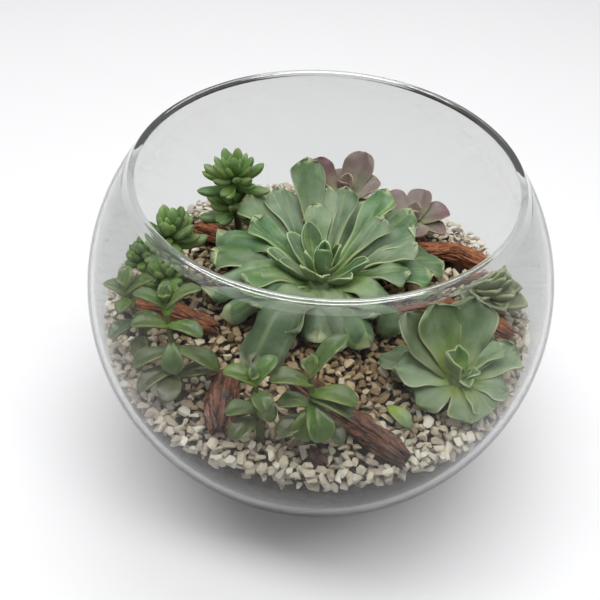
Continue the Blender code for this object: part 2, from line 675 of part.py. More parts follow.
def plants(collection):
    """All the plants, as their leafy solids."""
    blue = plain_material("blue-green leaf", LEAF_BLUE, 0.55)
    pale = plain_material("pale green leaf", LEAF_PALE, 0.55)
    grey = plain_material("grey-green leaf", LEAF_GREY, 0.6)
    bright = plain_material("bright green leaf", LEAF_BRIGHT, 0.4)
    purple = plain_material("purple leaf", LEAF_PURPLE, 0.5)

    rosette("rosette_centre", collection, CENTRE_AXIS, (12, 17, 11), CENTRE_LEAVES, blue,
            ROSETTE_STEM)
    rosette("rosette_front_right", collection, FRONT_RIGHT_AXIS, (7, 9, 8), FRONT_RIGHT_LEAVES, pale,
            PLANT_STEM, "MANIFOLD")
    ball = golden_leaves(14, 20, (4, 21), (31, 6), (11, 19), "pointed")
    rosette("rosette_back_right", collection, BACK_RIGHT_AXIS, (13, 12, 9.5), ball, grey, PLANT_STEM)
    for name, axis, leaves in (("rosette_purple_left", PURPLE_LEFT_AXIS, PURPLE_LEFT_LEAVES),
                               ("rosette_purple_right", PURPLE_RIGHT_AXIS, PURPLE_RIGHT_LEAVES)):
        rosette(name, collection, axis, (10, 5, 5), leaves, purple, PURPLE_STEM)
    sedum("sedum_back_left", collection, SEDUM_BACK_BASE, SEDUM_BACK_HEADS, bright)
    sedum("sedum_left", collection, SEDUM_LEFT_BASE, SEDUM_LEFT_HEADS, grey)
    for name, base, head, leaves in SPRAYS:
        spray(name, collection, base, head, leaves, bright)
    fallen = leaf(collection, Vector((0.0385, -0.0745, 0.1017)), Vector((0.0500, -0.0870, 0.1011)),
                  0.009, "boat", 0.0014, 0.0030)
    fallen.name = fallen.data.name = "fallen_leaf"
    fallen.data.materials.append(pale)
    return fallen


def main():
    """Build the terrarium."""
    clear_scene()
    terrarium = new_collection("glass plant terrarium")
    fallen = plants(terrarium)
    wood = plain_material("driftwood", WOOD_BROWN, 0.6)
    lying = [driftwood(name, terrarium, points, radius, flatness, seed, wood)
             for seed, (name, points, radius, flatness) in enumerate(DRIFTWOOD)]
    holes = [(CENTRE_AXIS, ROSETTE_STEM)]
    holes += [(axis, PLANT_STEM) for axis in (FRONT_RIGHT_AXIS, BACK_RIGHT_AXIS)]
    holes += [(axis, PURPLE_STEM) for axis in (PURPLE_LEFT_AXIS, PURPLE_RIGHT_AXIS)]
    holes += [(base, SEDUM_STEM) for base in (SEDUM_BACK_BASE, SEDUM_LEFT_BASE)]
    holes += [(base, SPRAY_STEM) for _, base, _, _ in SPRAYS]
    gravel_bed(terrarium, holes, lying + [fallen], plain_material("pale gravel", (0.62, 0.55, 0.44), 0.8))
    soil(terrarium, holes, plain_material("potting soil", (0.06, 0.045, 0.035), 0.95))
    rows = [FLOOR + (DRAINAGE_TOP - FLOOR) * part for part in PEBBLE_ROWS]
    drainage = fill_layer("drainage_pebbles", FLOOR + GAP, DRAINAGE_TOP, terrarium, LUMPY_TURN_STEPS, rows)
    make_lumpy(drainage, PEBBLE_DEPTH, 9)
    drainage.data.materials.append(plain_material("drainage pebbles", (0.12, 0.11, 0.10), 0.85))
    glass_bowl(terrarium)


main()
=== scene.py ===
"""The looks of the glass plant terrarium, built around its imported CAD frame.

Metres, +Z up, with the bowl's base on z = 0 and the viewer on the -Y side. Every plant, the wood, the
gravel, the soil and the glass get a fine piece that replaces the plain solid of the same name. The
tables of leaves are in millimetres and degrees, and MM turns them into metres.
"""

import math

import bmesh
import bpy
import numpy as np
from mathutils import Matrix, Vector, noise
from mathutils.bvhtree import BVHTree


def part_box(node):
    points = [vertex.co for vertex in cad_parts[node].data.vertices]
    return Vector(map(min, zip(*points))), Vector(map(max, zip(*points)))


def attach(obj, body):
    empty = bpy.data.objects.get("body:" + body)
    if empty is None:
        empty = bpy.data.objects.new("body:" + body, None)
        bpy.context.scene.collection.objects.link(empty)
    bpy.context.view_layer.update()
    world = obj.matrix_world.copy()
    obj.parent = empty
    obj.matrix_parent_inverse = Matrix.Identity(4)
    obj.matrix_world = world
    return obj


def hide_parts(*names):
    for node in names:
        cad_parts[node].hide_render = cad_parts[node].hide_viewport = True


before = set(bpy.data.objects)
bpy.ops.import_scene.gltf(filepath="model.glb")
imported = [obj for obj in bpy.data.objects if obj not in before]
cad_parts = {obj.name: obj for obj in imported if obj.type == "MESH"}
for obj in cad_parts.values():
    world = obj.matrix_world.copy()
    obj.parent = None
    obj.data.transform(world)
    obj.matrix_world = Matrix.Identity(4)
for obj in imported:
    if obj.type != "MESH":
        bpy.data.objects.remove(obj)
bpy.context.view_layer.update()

MM = 0.001
UP = np.array((0.0, 0.0, 1.0))
GOLDEN_ANGLE = 137.5
FULL_TURN = 2 * math.pi

# The bowl: its outside as in the frame, with a finer wall and rim than the solid's
BOWL_LOW, BOWL_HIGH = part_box("glass_bowl")
BOWL_RADIUS = (BOWL_HIGH[0] - BOWL_LOW[0]) / 2
BASE_RADIUS = 0.049
BOWL_CENTRE = math.sqrt(BOWL_RADIUS ** 2 - BASE_RADIUS ** 2)
MOUTH_ANGLE = 38.3
WALL = 0.0028
INNER_RADIUS = BOWL_RADIUS - WALL
INNER_CENTRE = BOWL_CENTRE + 0.0012
FLOOR = 0.008
RIM_BEAD = 0.0019
RIM_DEPTH = 0.0017

# The layers in it, and how deep the stems' feet stand in the soil
SOIL_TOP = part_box("potting_soil")[1][2]
DRAINAGE_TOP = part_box("drainage_pebbles")[1][2]
GRAVEL_TOP = SOIL_TOP + 0.0135
STEM_FOOT = SOIL_TOP - 0.02

# A rosette's leaves root ROOT_RISE over its dome's top in its middle, and as far under it at LOWEST_REACH
# millimetres
ROOT_RISE = 0.006
LOWEST_REACH = 65

# The firm bed under the loose chips lies BED_DEPTH below the gravel's surface, and slopes down from its
# shoulder to its edge, a little inside the glass. Chips are in one piece as far as MIDDLE_REACH, in
# another as far as the shoulder, and in a third at the glass.
BED_DEPTH = 0.0058
BED_SHOULDER = 0.098
BED_EDGE = 0.1135
BED_SLOPE = 0.005
MIDDLE_REACH = 0.070

# A chip's half length is about SMALLEST_CHIP to CHIP_RANGE more. It takes the lowest of CHIP_TRIES places,
# and the bed is full when MISSES_WHEN_FULL chips in a row would stand too high.
FURTHEST_CHIP = 0.1205
SMALLEST_CHIP = 0.0017
CHIP_RANGE = 0.0021
CHIP_SHAPES = 28
CHIP_TRIES = 7
MISSES_WHEN_FULL = 260

# Drainage pebbles: the heights of their rows, in parts of the layer, how many a row has at the glass, and
# how many rings a row has, from the glass inwards
PEBBLE_ROWS = (0.33, 0.70)
PEBBLES_AROUND = 32
PEBBLE_RINGS = 3

# How far the ragged wood swells past the plain solid's radius
WOOD_SWELL = 1.12

# Tones of the leaves' powdery bloom, the glass (for sight and for shadows) and the floor
BLOOM = (0.40, 0.47, 0.34)
GLASS_TINT = (0.735, 0.745, 0.74)
RIM_TINT = (0.86, 0.89, 0.87)
GLASS_SHADE = (0.90, 0.91, 0.91)
FLOOR_TONE = (0.86, 0.86, 0.865)

# What the lights face, and the point on the axis that the camera stands VIEW_DISTANCE away from
LIGHT_AIM = (0, 0, 0.1)
VIEW_DISTANCE = 0.5
UP_TO_VIEW = Vector((0, 0, 0.115))

# Leaf forms, as settings of blade(). Angles are in degrees.
#   lens      a section that tapers to its edges
#   fold      turns the edges down from the midrib, or cups them if negative
#   hook      bends the end down, and curl lifts it, in parts of the length
#   outline   rows of (part of the length, part of the width, part of the fold), from root to tip
#   wider     stretches the width that the plant's table gives
#   thick     the thickness in metres, and channel the depth of the midrib's groove in parts of that
#   roll      turns the margins down, or up if negative
#   wave      the height of the margins' waves in parts of the width, and waves their number
#   cap       the part of the length over which the end rounds off, and blunt its squareness
#   point     the length of the tip's small point, in parts of the length
#   lobe      how far the end's shoulders reach past its middle, in parts of the width
#   peak      how far the midrib reaches past the margins at the end, in parts of the width
#   twist     the most that the blade turns about its length
#   steps     points along the leaf, and across the points across it
LOOKS = {
    "strap": dict(
        fold=26, hook=0.03, roll=22, wave=0.085, waves=2.4, cap=0.06, blunt=3.0, point=0.025, curl=0.02,
        lobe=0.2, channel=0.5, wider=1.06, peak=0.04, steps=30, across=15,
        outline=((0, .36, -1.2), (.3, .44, -1.7), (.6, .66, -1.5), (.86, 1, -.5), (1, 1.04, .7))),
    "flag": dict(
        fold=36, hook=0.20, roll=40, wave=0.11, cap=0.07, blunt=2.8, point=0.0, lobe=0.1, channel=0.4,
        wider=1.12, thick=0.0028, peak=-0.3, twist=14, steps=30, across=17,
        outline=((0, .46, -.6), (.4, .56, .1), (.75, .88, .9), (1, 1.12, 1.15))),
    "roof": dict(
        fold=44, hook=0.12, roll=24, wave=0.06, cap=0.08, blunt=2.4, point=0.0, channel=0.3, thick=0.0028,
        peak=-0.35, steps=30, across=13,
        outline=((0, .42, -.3), (.42, .58, .3), (.8, .96, 1), (1, 1, 1.15))),
    "spoon": dict(
        lens=True, fold=-36, hook=-0.06, roll=-14, wave=0.01, cap=0.34, blunt=2.2, twist=4, channel=0.4,
        wider=1.2, outline=((0, .45, .4), (.5, .85, 1), (.78, 1, 1), (1, 1, .8))),
    "pointed": dict(
        lens=True, fold=-34, hook=-0.04, roll=4, wave=0.02, cap=0.3, blunt=1.9, twist=4, wider=1.1,
        outline=((0, .45, .4), (.5, .9, 1), (.72, 1, 1), (1, .8, .8))),
    "fan": dict(
        fold=-10, hook=-0.03, roll=-6, wave=0.09, waves=1.9, cap=0.26, blunt=2.5, point=0.008, lobe=0.05,
        channel=0.5, wider=1.16, steps=26, across=17,
        outline=((0, .25, .3), (.4, .62, .5), (.85, 1, 1), (1, .6, .8))),
    "cup": dict(
        lens=True, fold=-44, hook=-0.06, roll=-20, wave=0.03, cap=0.34, blunt=2.4, point=0.01, twist=4,
        channel=0.4, wider=1.3, outline=((0, .4, .3), (.66, 1, .9), (1, .3, .6))),
    "bud": dict(
        lens=True, fold=-40, hook=-0.06, roll=-16, cap=0.45, blunt=2.3, point=0.02, twist=3, thick=0.0018,
        steps=14, across=9, outline=((0, .4, .3), (.66, 1, .9), (1, .3, .6))),
    "scale": dict(
        lens=True, fold=-30, hook=-0.04, roll=-12, cap=0.5, blunt=2.1, point=0.02, twist=3, curl=0.2,
        wider=1.3, thick=0.0036, outline=((0, .5, .5), (.5, 1, 1), (1, 1, .9))),
    "round": dict(
        lens=True, fold=-22, hook=-0.05, roll=-4, wave=0.02, cap=0.42, blunt=2.4, point=0.008, twist=10,
        wider=1.12, outline=((0, .4, .3), (.4, .82, .8), (.75, 1, 1), (1, 1, .6))),
    "boat": dict(
        lens=True, fold=-26, hook=0.03, roll=-8, wave=0.015, cap=0.38, blunt=2.0, point=0.02, twist=8,
        wider=1.2, thick=0.0030, steps=18, outline=((0, .25, .3), (.4, .78, .8), (.72, 1, 1), (1, .9, .6))),
    "sprout": dict(
        lens=True, fold=-18, hook=0.03, thick=0.0014, steps=9, across=7,
        outline=((0, .22, .3), (.3, .85, .8), (.68, 1, 1), (1, .1, .6))),
    "fallen": dict(
        lens=True, fold=-18, hook=0.03, roll=50, cap=0.35, blunt=2.4, point=0.0, thick=0.0020, steps=18,
        outline=((0, .22, .3), (.3, .85, .8), (.68, 1, 1), (1, .1, .6))),
}

# Rosettes: (azimuth, reach, height of the tip above the gravel, width, look) for each leaf
CENTRE_LEAVES = (
    (104, 53, 54, 18, "strap"), (92, 47, 40, 15, "strap"), (99, 36, 36, 15, "strap"),
    (78, 48, 40, 15, "strap"), (68, 58, 25, 17, "strap"),
    (55, 56, 41, 16, "strap"), (40, 41, 37, 14, "strap"), (44, 65, 28, 20, "strap"),
    (29, 54, 32, 17, "strap"), (14, 50, 31, 17, "strap"), (4, 58, 19, 18, "strap"),
    (20, 71, 11, 20, "strap"), (353, 45, 27, 15, "strap"), (344, 25, 36, 12, "spoon"),
    (269, 7, 41, 11, "spoon"), (87, 4, 39, 9, "spoon"), (14, 9, 38, 8, "spoon"),
    (205, 11, 37, 8, "spoon"), (118, 22, 39, 13, "pointed"), (150, 24, 36, 12, "spoon"),
    (270, 16, 30, 10, "pointed"), (231, 18, 34, 10, "pointed"), (316, 22, 30, 11, "spoon"),
    (121, 55, 36, 18, "strap"), (135, 62, 32, 21, "strap"),
    (153, 43, 36, 16, "strap"), (155, 66, 20, 26, "flag"), (176, 59, 22, 21, "strap"),
    (188, 31, 36, 12, "spoon"), (200, 25, 33, 11, "pointed"), (205, 44, 27, 15, "strap"),
    (192, 62, 15, 24, "flag"), (222, 45, 21, 18, "strap"), (208, 58, 12, 26, "roof"),
    (241, 66, 5, 30, "flag"), (246, 47, 15, 18, "strap"), (270, 41, 11, 25, "roof"),
    (287, 44, 5, 18, "flag"), (318, 40, 17, 17, "strap"), (303, 49, 11, 25, "roof"),
    (331, 54, 10, 24, "flag"),
)
FRONT_RIGHT_LEAVES = (
    (150, 35, 36, 21, "fan"), (122, 29, 38, 24, "fan"), (80, 31, 38, 25, "fan"),
    (52, 27, 21, 17, "fan"), (30, 22, 24, 10, "strap"), (35, 35, 15, 22, "fan"),
    (178, 33, 12, 21, "fan"), (160, 42, 6, 18, "fan"), (188, 10, 30, 13, "cup"),
    (110, 8, 27, 9, "cup"), (350, 9, 18, 7, "cup"), (290, 10, 15, 7, "cup"),
    (215, 24, 4, 18, "fan"), (318, 20, 5, 19, "fan"), (282, 22, 4, 20, "fan"),
    (356, 24, 6, 18, "fan"),
)
PURPLE_LEFT_LEAVES = (
    (150, 23, 33, 18, "round"), (62, 24, 34, 20, "round"), (12, 22, 24, 18, "round"),
    (200, 21, 22, 16, "round"), (108, 24, 18, 17, "round"), (258, 19, 13, 14, "round"),
    (318, 22, 14, 15, "round"), (250, 6, 29, 9, "spoon"), (70, 6, 28, 9, "spoon"),
)
PURPLE_RIGHT_LEAVES = (
    (140, 20, 25, 16, "round"), (72, 20, 24, 16, "round"), (20, 23, 18, 16, "round"),
    (200, 20, 15, 15, "round"), (340, 21, 11, 14, "round"), (285, 15, 13, 13, "round"),
    (245, 5, 25, 9, "spoon"), (80, 6, 24, 9, "spoon"),
)

# Where the plants stand: (x, y) of each stem
CENTRE_AXIS = (1, 4)
FRONT_RIGHT_AXIS = (74, -60)
BACK_RIGHT_AXIS = (91, 9)
PURPLE_LEFT_AXIS = (11, 83)
PURPLE_RIGHT_AXIS = (53, 64)
SEDUM_BACK_BASE = (-52, 61)
SEDUM_LEFT_BASE = (-84, 6)

# Sedum heads: (top, leaves, first azimuth, length, width, lowest rise, highest rise, leafy part). Each
# has SMALL_SEDUM_LEAVES more, towards its top.
SMALL_SEDUM_LEAVES = 22
SEDUM_BACK_HEADS = (
    ((-54, 56, 147), 13, 205, 23, 8.5, 2, 78, 0.22),
    ((-54, 58, 126), 8, 190, 23, 9.5, -6, 30, 0.45),
)
SEDUM_LEFT_HEADS = (
    ((-83, 12, 139), 13, 100, 22, 9, 8, 82, 0.4),
    ((-97, 4, 128), 8, 140, 18, 10, 0, 70, 0.5),
    ((-84, -6, 122), 7, 250, 20, 10.5, 0, 60, 0.6),
)

# Sprays: name, base, top of the stem, and leaves (part of the stem, azimuth, rise, length, width)
SPRAYS = (
    ("spray_left_outer", (-86, -50), (-97, -43, 140), (
        (1.0, 75, 55, 13, 7), (1.0, 200, 60, 9, 5.5), (0.94, 18, 28, 17, 8), (0.93, 170, 22, 13, 7),
        (0.85, 262, 10, 13, 7), (0.75, 105, 25, 16, 9), (0.62, 335, 5, 15, 8), (0.52, 225, -5, 17, 9),
        (0.35, 60, 0, 16, 9), (0.30, 270, -5, 15, 9))),
    ("spray_left_inner", (-67, -73), (-73, -59, 148), (
        (1.0, 85, 60, 11, 5.5), (1.0, 270, 60, 9, 5.5), (0.95, 12, 32, 21, 8), (0.95, 178, 26, 18, 8),
        (0.88, 92, 40, 17, 10), (0.76, 340, 0, 19, 9), (0.74, 190, 8, 19, 9), (0.58, 282, -48, 17, 10),
        (0.50, 350, -18, 26, 10), (0.46, 200, -14, 21, 10),
        (0.28, 222, -10, 22, 10), (0.18, 262, -2, 18, 11), (0.16, 18, 2, 22, 10))),
    ("spray_front_left", (-23, -98), (-26, -97, 139), (
        (1.0, 135, 62, 9, 5.5), (1.0, 330, 60, 6, 4.5), (0.96, 176, 22, 17, 9), (0.96, 42, 40, 17, 8),
        (0.82, 300, -8, 12, 10), (0.52, 192, -2, 16, 9), (0.50, 335, -8, 10, 9), (0.34, 222, -10, 17, 10),
        (0.30, 110, 5, 14, 9))),
    ("spray_front_right", (3, -97), (-1, -97, 147), (
        (1.0, 80, 70, 11, 5.5), (1.0, 150, 40, 8, 5.5), (0.97, 32, 44, 26, 9), (0.85, 180, 4, 20, 10),
        (0.72, 352, -4, 22, 11), (0.66, 345, -14, 21, 10),
        (0.58, 292, -34, 19, 13), (0.52, 252, -42, 17, 11), (0.56, 183, -2, 17, 9),
        (0.34, 212, -6, 20, 10), (0.36, 322, -12, 20, 10), (0.30, 60, 2, 15, 9))),
)

# Driftwood: name, points along it, radius, and height of the section in parts of its width
DRIFTWOOD = (
    ("driftwood_front", ((-12, -57, 103), (15, -82, 105.5), (46, -105, 103.5)), 6.0, 0.85),
    ("driftwood_front_left", ((-44, -62, 104), (-44, -80, 107), (-43, -97, 104)), 7.0, 0.75),
    ("driftwood_right", ((31, -9, 106), (66, -8, 110), (104, -21, 106.5)), 7.0, 0.95),
    ("driftwood_back_right", ((52, 46, 104), (76, 47, 107), (98, 40, 104)), 5.5, 0.95),
    ("driftwood_back_left", ((-78, 57, 104), (-58, 45, 107), (-40, 34, 105)), 5.5, 0.9),
    ("driftwood_left", ((-108, -14, 104), (-80, -22, 107), (-55, -29, 104)), 6.5, 0.7),
    ("driftwood_twig", ((1, -104, 103.2), (9, -111, 101.6)), 2.4, 1.0),
)


# ---------------------------------------------------------------- small tools

def unit(vector):
    """A vector, or each row of an array, at length 1."""
    return vector / np.maximum(np.linalg.norm(vector, axis=-1, keepdims=True), 1e-12)


def direction(azimuth, rise=0.0):
    """The unit vector at an azimuth and a rise, in degrees."""
    turn, lift = math.radians(azimuth), math.radians(rise)
    return np.array((math.cos(lift) * math.cos(turn), math.cos(lift) * math.sin(turn), math.sin(lift)))


def curve_through(rows, column, at):
    """Values at places along a smooth curve through a table's rows, without overshoot."""
    x = np.array([row[0] for row in rows], float)
    y = np.array([row[column] for row in rows], float)
    slope = np.diff(y) / np.diff(x)
    tangent = np.concatenate((slope[:1], (slope[:-1] + slope[1:]) / 2, slope[-1:]))
    tangent[1:-1][slope[:-1] * slope[1:] <= 0] = 0
    leg = np.clip(np.searchsorted(x, at, side="right") - 1, 0, len(slope) - 1)
    run = x[leg + 1] - x[leg]
    t = np.clip((at - x[leg]) / run, 0, 1)
    return ((2 * t ** 3 - 3 * t ** 2 + 1) * y[leg] + (t ** 3 - 2 * t ** 2 + t) * run * tangent[leg]
            + (3 * t ** 2 - 2 * t ** 3) * y[leg + 1] + (t ** 3 - t ** 2) * run * tangent[leg + 1])


def smooth_line(rows, parts):
    """The length of the line through rows up to each of them, and points at parts of a smooth line."""
    runs = np.concatenate(([0], np.cumsum(np.linalg.norm(np.diff(rows, axis=0), axis=1))))
    places = [curve_through(np.c_[runs, rows[:, k]], 1, parts * runs[-1]) for k in range(3)]
    return runs, np.stack(places, axis=1)


def noise_at(x, y, z):
    """Smooth noise at a place, about -1 to 1."""
    return noise.noise(Vector((x, y, z)))


class Surface:
    """Collects vertices and faces, with a map (across, along) and a tone for each vertex.

    A tone is (random draw, age or darkening, side); on the gravel that darkening is painted shade
    deep in the pile. Maps and tones are given as their parts, each of them one number or an array
    that spreads over the points.
    """

    def __init__(self):
        self.points, self.maps, self.tones, self.faces = [], [], [], []
        self.count = 0

    def add(self, points, faces, maps, tone):
        """Add one island."""
        self.points.append(points)
        for kept, parts in ((self.maps, maps), (self.tones, tone)):
            spread = np.broadcast_arrays(*parts, np.zeros(len(points)))[:-1]
            kept.append(np.stack(spread, axis=-1))
        self.faces.extend([[i + self.count for i in face] for face in faces])
        self.count += len(points)

    def tube(self, rings, maps, tone):
        """Add rings of equal size, joined in order and closed at both ends."""
        count, around = rings.shape[:2]
        faces = []
        for i in range(count - 1):
            for k in range(around):
                j = (k + 1) % around
                a, b = i * around, (i + 1) * around
                faces.append((a + k, a + j, b + j, b + k))
        faces.append(tuple(range(around))[::-1])
        faces.append(tuple(range((count - 1) * around, count * around)))
        maps, tone = ([part.ravel() for part in np.broadcast_arrays(*parts, np.zeros((count, around)))[:-1]]
                      for parts in (maps, tone))
        self.add(rings.reshape(-1, 3), faces, maps, tone)

    def finish(self, name, material, node, slot, flat=False):
        """Make the piece, which stands for a node and rides on the body. Its slot is not used."""
        mesh = bpy.data.meshes.new(name)
        mesh.from_pydata(np.concatenate(self.points).tolist(), [], self.faces)
        corner = np.zeros(len(mesh.loops), np.int32)
        mesh.loops.foreach_get("vertex_index", corner)
        layer = mesh.uv_layers.new(name="grain")
        layer.uv.foreach_set("vector", np.concatenate(self.maps)[corner].astype(np.float32).ravel())
        tones = np.concatenate(self.tones)
        colours = mesh.color_attributes.new("tone", "FLOAT_COLOR", "POINT")
        colours.data.foreach_set("color", np.c_[tones, np.ones(len(tones))].astype(np.float32).ravel())
        if not flat:
            mesh.shade_smooth()
        mesh.materials.append(material)
        piece = bpy.data.objects.new(name, mesh)
        bpy.context.scene.collection.objects.link(piece)
        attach(piece, "root")
        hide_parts(node)
        return piece


def turns_of(count):
    """Angles all the way round, evenly spaced."""
    return np.linspace(0, FULL_TURN, count, endpoint=False)


def rings_along(places, side, other, turns, wide, high):
    """An oval ring round each place of a line: half widths along side and half heights along other."""
    return (places[:, None] + side * (np.cos(turns)[None] * wide[:, None])[..., None]
            + other * (np.sin(turns)[None] * high)[..., None])


# ---------------------------------------------------------------- leaves

def leaf_places(root, tip, bow, hook, parts):
    """Points along a leaf that bows up from its chord and whose end turns down by its hook."""
    chord = tip - root
    side = unit(np.cross(UP, (chord[0], chord[1], 0)))
    normal = np.cross(unit(chord), side)
    middle = (root + tip) / 2 + normal * bow * 2
    s = parts[:, None]
    first, last = root + (middle - root) * s, middle + (tip - middle) * s
    lift = np.where(s < 0.5, np.sin(math.pi * s) ** 2, 1 - ((s - 0.5) / 0.5) ** 2)
    return first + (last - first) * s + normal * lift * hook * np.linalg.norm(chord), side


def blade(surface, root, tip, width, bow, draw, age=0.5, lens=False, fold=0.0, hook=0.0, outline=None,
          wider=1.0, thick=0.0026, channel=0.12, roll=0.0, wave=0.0, waves=3.0, cap=0.16, blunt=2.6,
          point=0.03, curl=0.0, lobe=0.0, peak=0.0, twist=6.0, steps=22, across=11):
    """A fleshy leaf from its root to its tip, thick in the middle and folded along its midrib.

    bow is how far its middle rises over its chord, and age, from 0 to 1, is for its colours. LOOKS
    gives the rest, and says what each setting means.
    """
    width = width * wider
    s = 1 - (1 - np.linspace(0, 1, steps)) ** 1.35
    x = np.linspace(-1, 1, across)
    u = np.sin(x * math.pi / 2)
    places, side = leaf_places(root, tip, bow, hook, s)
    length = np.linalg.norm(tip - root)
    if curl:
        places = places + UP * (length * curl * np.clip((s - 0.6) / 0.4, 0, 1) ** 2)[:, None]
    along = unit(np.gradient(places, axis=0))
    normal = np.cross(along, side)
    turn = np.radians(draw.uniform(-twist, twist)) * s ** 1.5
    lateral = side * np.cos(turn)[:, None] + normal * np.sin(turn)[:, None]
    normal = np.cross(along, lateral)
    wide = curve_through(outline, 1, s)
    bend = curve_through(outline, 2, s)
    into_cap = np.clip((s - 1 + cap) / cap, 0, 1)
    half = width / 2 * wide * np.maximum(1 - into_cap ** blunt, 0) ** (1 / blunt)
    half = np.maximum(half, 0.00015)
    folded = np.radians(fold * draw.uniform(0.8, 1.2)) * bend
    angle = folded[:, None] * (0.75 + 0.5 * np.abs(u)[None]) * np.ones((steps, across))
    to_margin = np.clip((np.abs(u)[None] - 0.62) / 0.38, 0, 1)
    angle += math.radians(roll) * to_margin ** 1.5 * s[:, None] ** 0.7
    sideways, drop = np.zeros((steps, across)), np.zeros((steps, across))
    middle = across // 2
    for sign in (-1, 1):
        for k in range(1, middle + 1):
            here, before = middle + sign * k, middle + sign * (k - 1)
            run = abs(u[here] - u[before])
            bent = (angle[:, here] + angle[:, before]) / 2
            sideways[:, here] = sideways[:, before] + sign * run * np.cos(bent)
            drop[:, here] = drop[:, before] + run * np.sin(bent)
    phase = draw.uniform(0, FULL_TURN, 2)
    ripple = np.where(u[None] > 0, np.sin(FULL_TURN * waves * s[:, None] + phase[0]),
                      np.sin(FULL_TURN * waves * 1.13 * s[:, None] + phase[1]))
    ripple = ripple * np.abs(u)[None] ** 2 * s[:, None] ** 1.5
    ripple += np.sin(math.pi * 2.4 * u + phase[0])[None] * into_cap[:, None] ** 1.5 * 0.8
    lift = wave * width * ripple - drop * half[:, None]
    forward = lobe * width * (np.abs(u) * (1 - np.abs(u)) * 4)[None] * into_cap[:, None] ** 2
    forward += point * length * np.exp(-(u / 0.12) ** 2)[None] * into_cap[:, None] ** 4
    forward += peak * width * (0.5 - np.abs(u))[None] * into_cap[:, None]
    flesh = thick / 2 * (1 - 0.45 * s ** 3) * np.minimum(1, half / (width * 0.12)) ** 0.5
    profile = (1 - np.abs(u) ** (2.2 if lens else 5.0)) ** 0.5
    base = (places[:, None] + lateral[:, None] * (sideways * half[:, None])[..., None]
            + normal[:, None] * lift[..., None] + along[:, None] * forward[..., None])
    section = unit(normal[:, None] * np.cos(angle)[..., None]
                   + lateral[:, None] * (np.sin(angle) * np.sign(u)[None])[..., None])
    swell = section * (flesh[:, None] * profile[None])[..., None]
    depth = thick * channel * np.exp(-(u / 0.28) ** 2)[None] * (1 - s[:, None] ** 2)
    top, bottom = base + swell - normal[:, None] * depth[..., None], base - swell
    rings = np.concatenate((top, bottom[:, -2:0:-1]), axis=1)
    ring_u = np.concatenate((u, u[-2:0:-1])) / 2 + 0.5
    low_side = np.concatenate((np.zeros(across), np.ones(across - 2)))
    surface.tube(rings, (ring_u[None], s[:, None]), (draw.uniform(), age, low_side[None]))


def finger(surface, root, tip, width, bow, draw, age):
    """A plump leaf, nearly round in section, flatter above, with a short point."""
    s = 1 - (1 - np.linspace(0, 1, 13)) ** 1.5
    places, side = leaf_places(root, tip, bow, 0.0, s)
    along = unit(np.gradient(places, axis=0))
    normal = np.cross(along, side)
    wide = width / 2 * curve_through(((0, .42), (.2, .72), (.5, 1), (.78, .93), (.93, .52), (1, .04)), 1, s)
    turns = turns_of(14)
    flat = np.where(np.sin(turns) > 0, 0.62, 0.85)
    rings = rings_along(places, side, normal[:, None], turns, wide, flat[None] * wide[:, None])
    surface.tube(rings, (np.cos(turns)[None] / 2 + 0.5, s[:, None]),
                 (draw.uniform(), age, (np.sin(turns) < 0)[None]))


def stalk(surface, points, radii, draw):
    """A stem through points, smoothly bent, with faint knots along it."""
    parts = np.linspace(0, 1, 24)
    runs, places = smooth_line(np.array(points, float), parts)
    at = parts * runs[-1]
    along = unit(np.gradient(places, axis=0))
    side = unit(np.cross(along, (0.3, 1.0, 0.1)))
    other = np.cross(along, side)
    radius = np.interp(at, runs, radii) * (1 + 0.12 * np.sin(at / runs[-1] * 38 + draw.uniform(0, 6)))
    turns = turns_of(12)
    rings = rings_along(places, side[:, None], other[:, None], turns, radius, radius[:, None])
    surface.tube(rings, (np.cos(turns)[None] / 2 + 0.5, np.linspace(0, 0.15, len(at))[:, None]),
                 (draw.uniform(), 1.0, 0.0))


def crown(surface, centre, radius, height, draw):
    """The lumpy dome that a rosette's leaves grow from, marked by the bases of old leaves."""
    rise = np.linspace(-math.pi / 2, math.pi / 2, 18)
    turns = turns_of(36)
    lumps = 1 + 0.06 * np.sin(5 * turns + 9 * rise[:, None]) * np.cos(rise)[:, None]
    x = radius * np.cos(rise)[:, None] * np.cos(turns)[None] * lumps
    y = radius * np.cos(rise)[:, None] * np.sin(turns)[None] * lumps
    z = height * np.sin(rise)[:, None] * np.ones(len(turns))[None]
    rings = np.stack((x, y, z), axis=-1) + centre
    surface.tube(rings, (np.cos(turns)[None] / 2 + 0.5, 0.1), (draw.uniform(), 1.0, 1.0))


# ---------------------------------------------------------------- materials

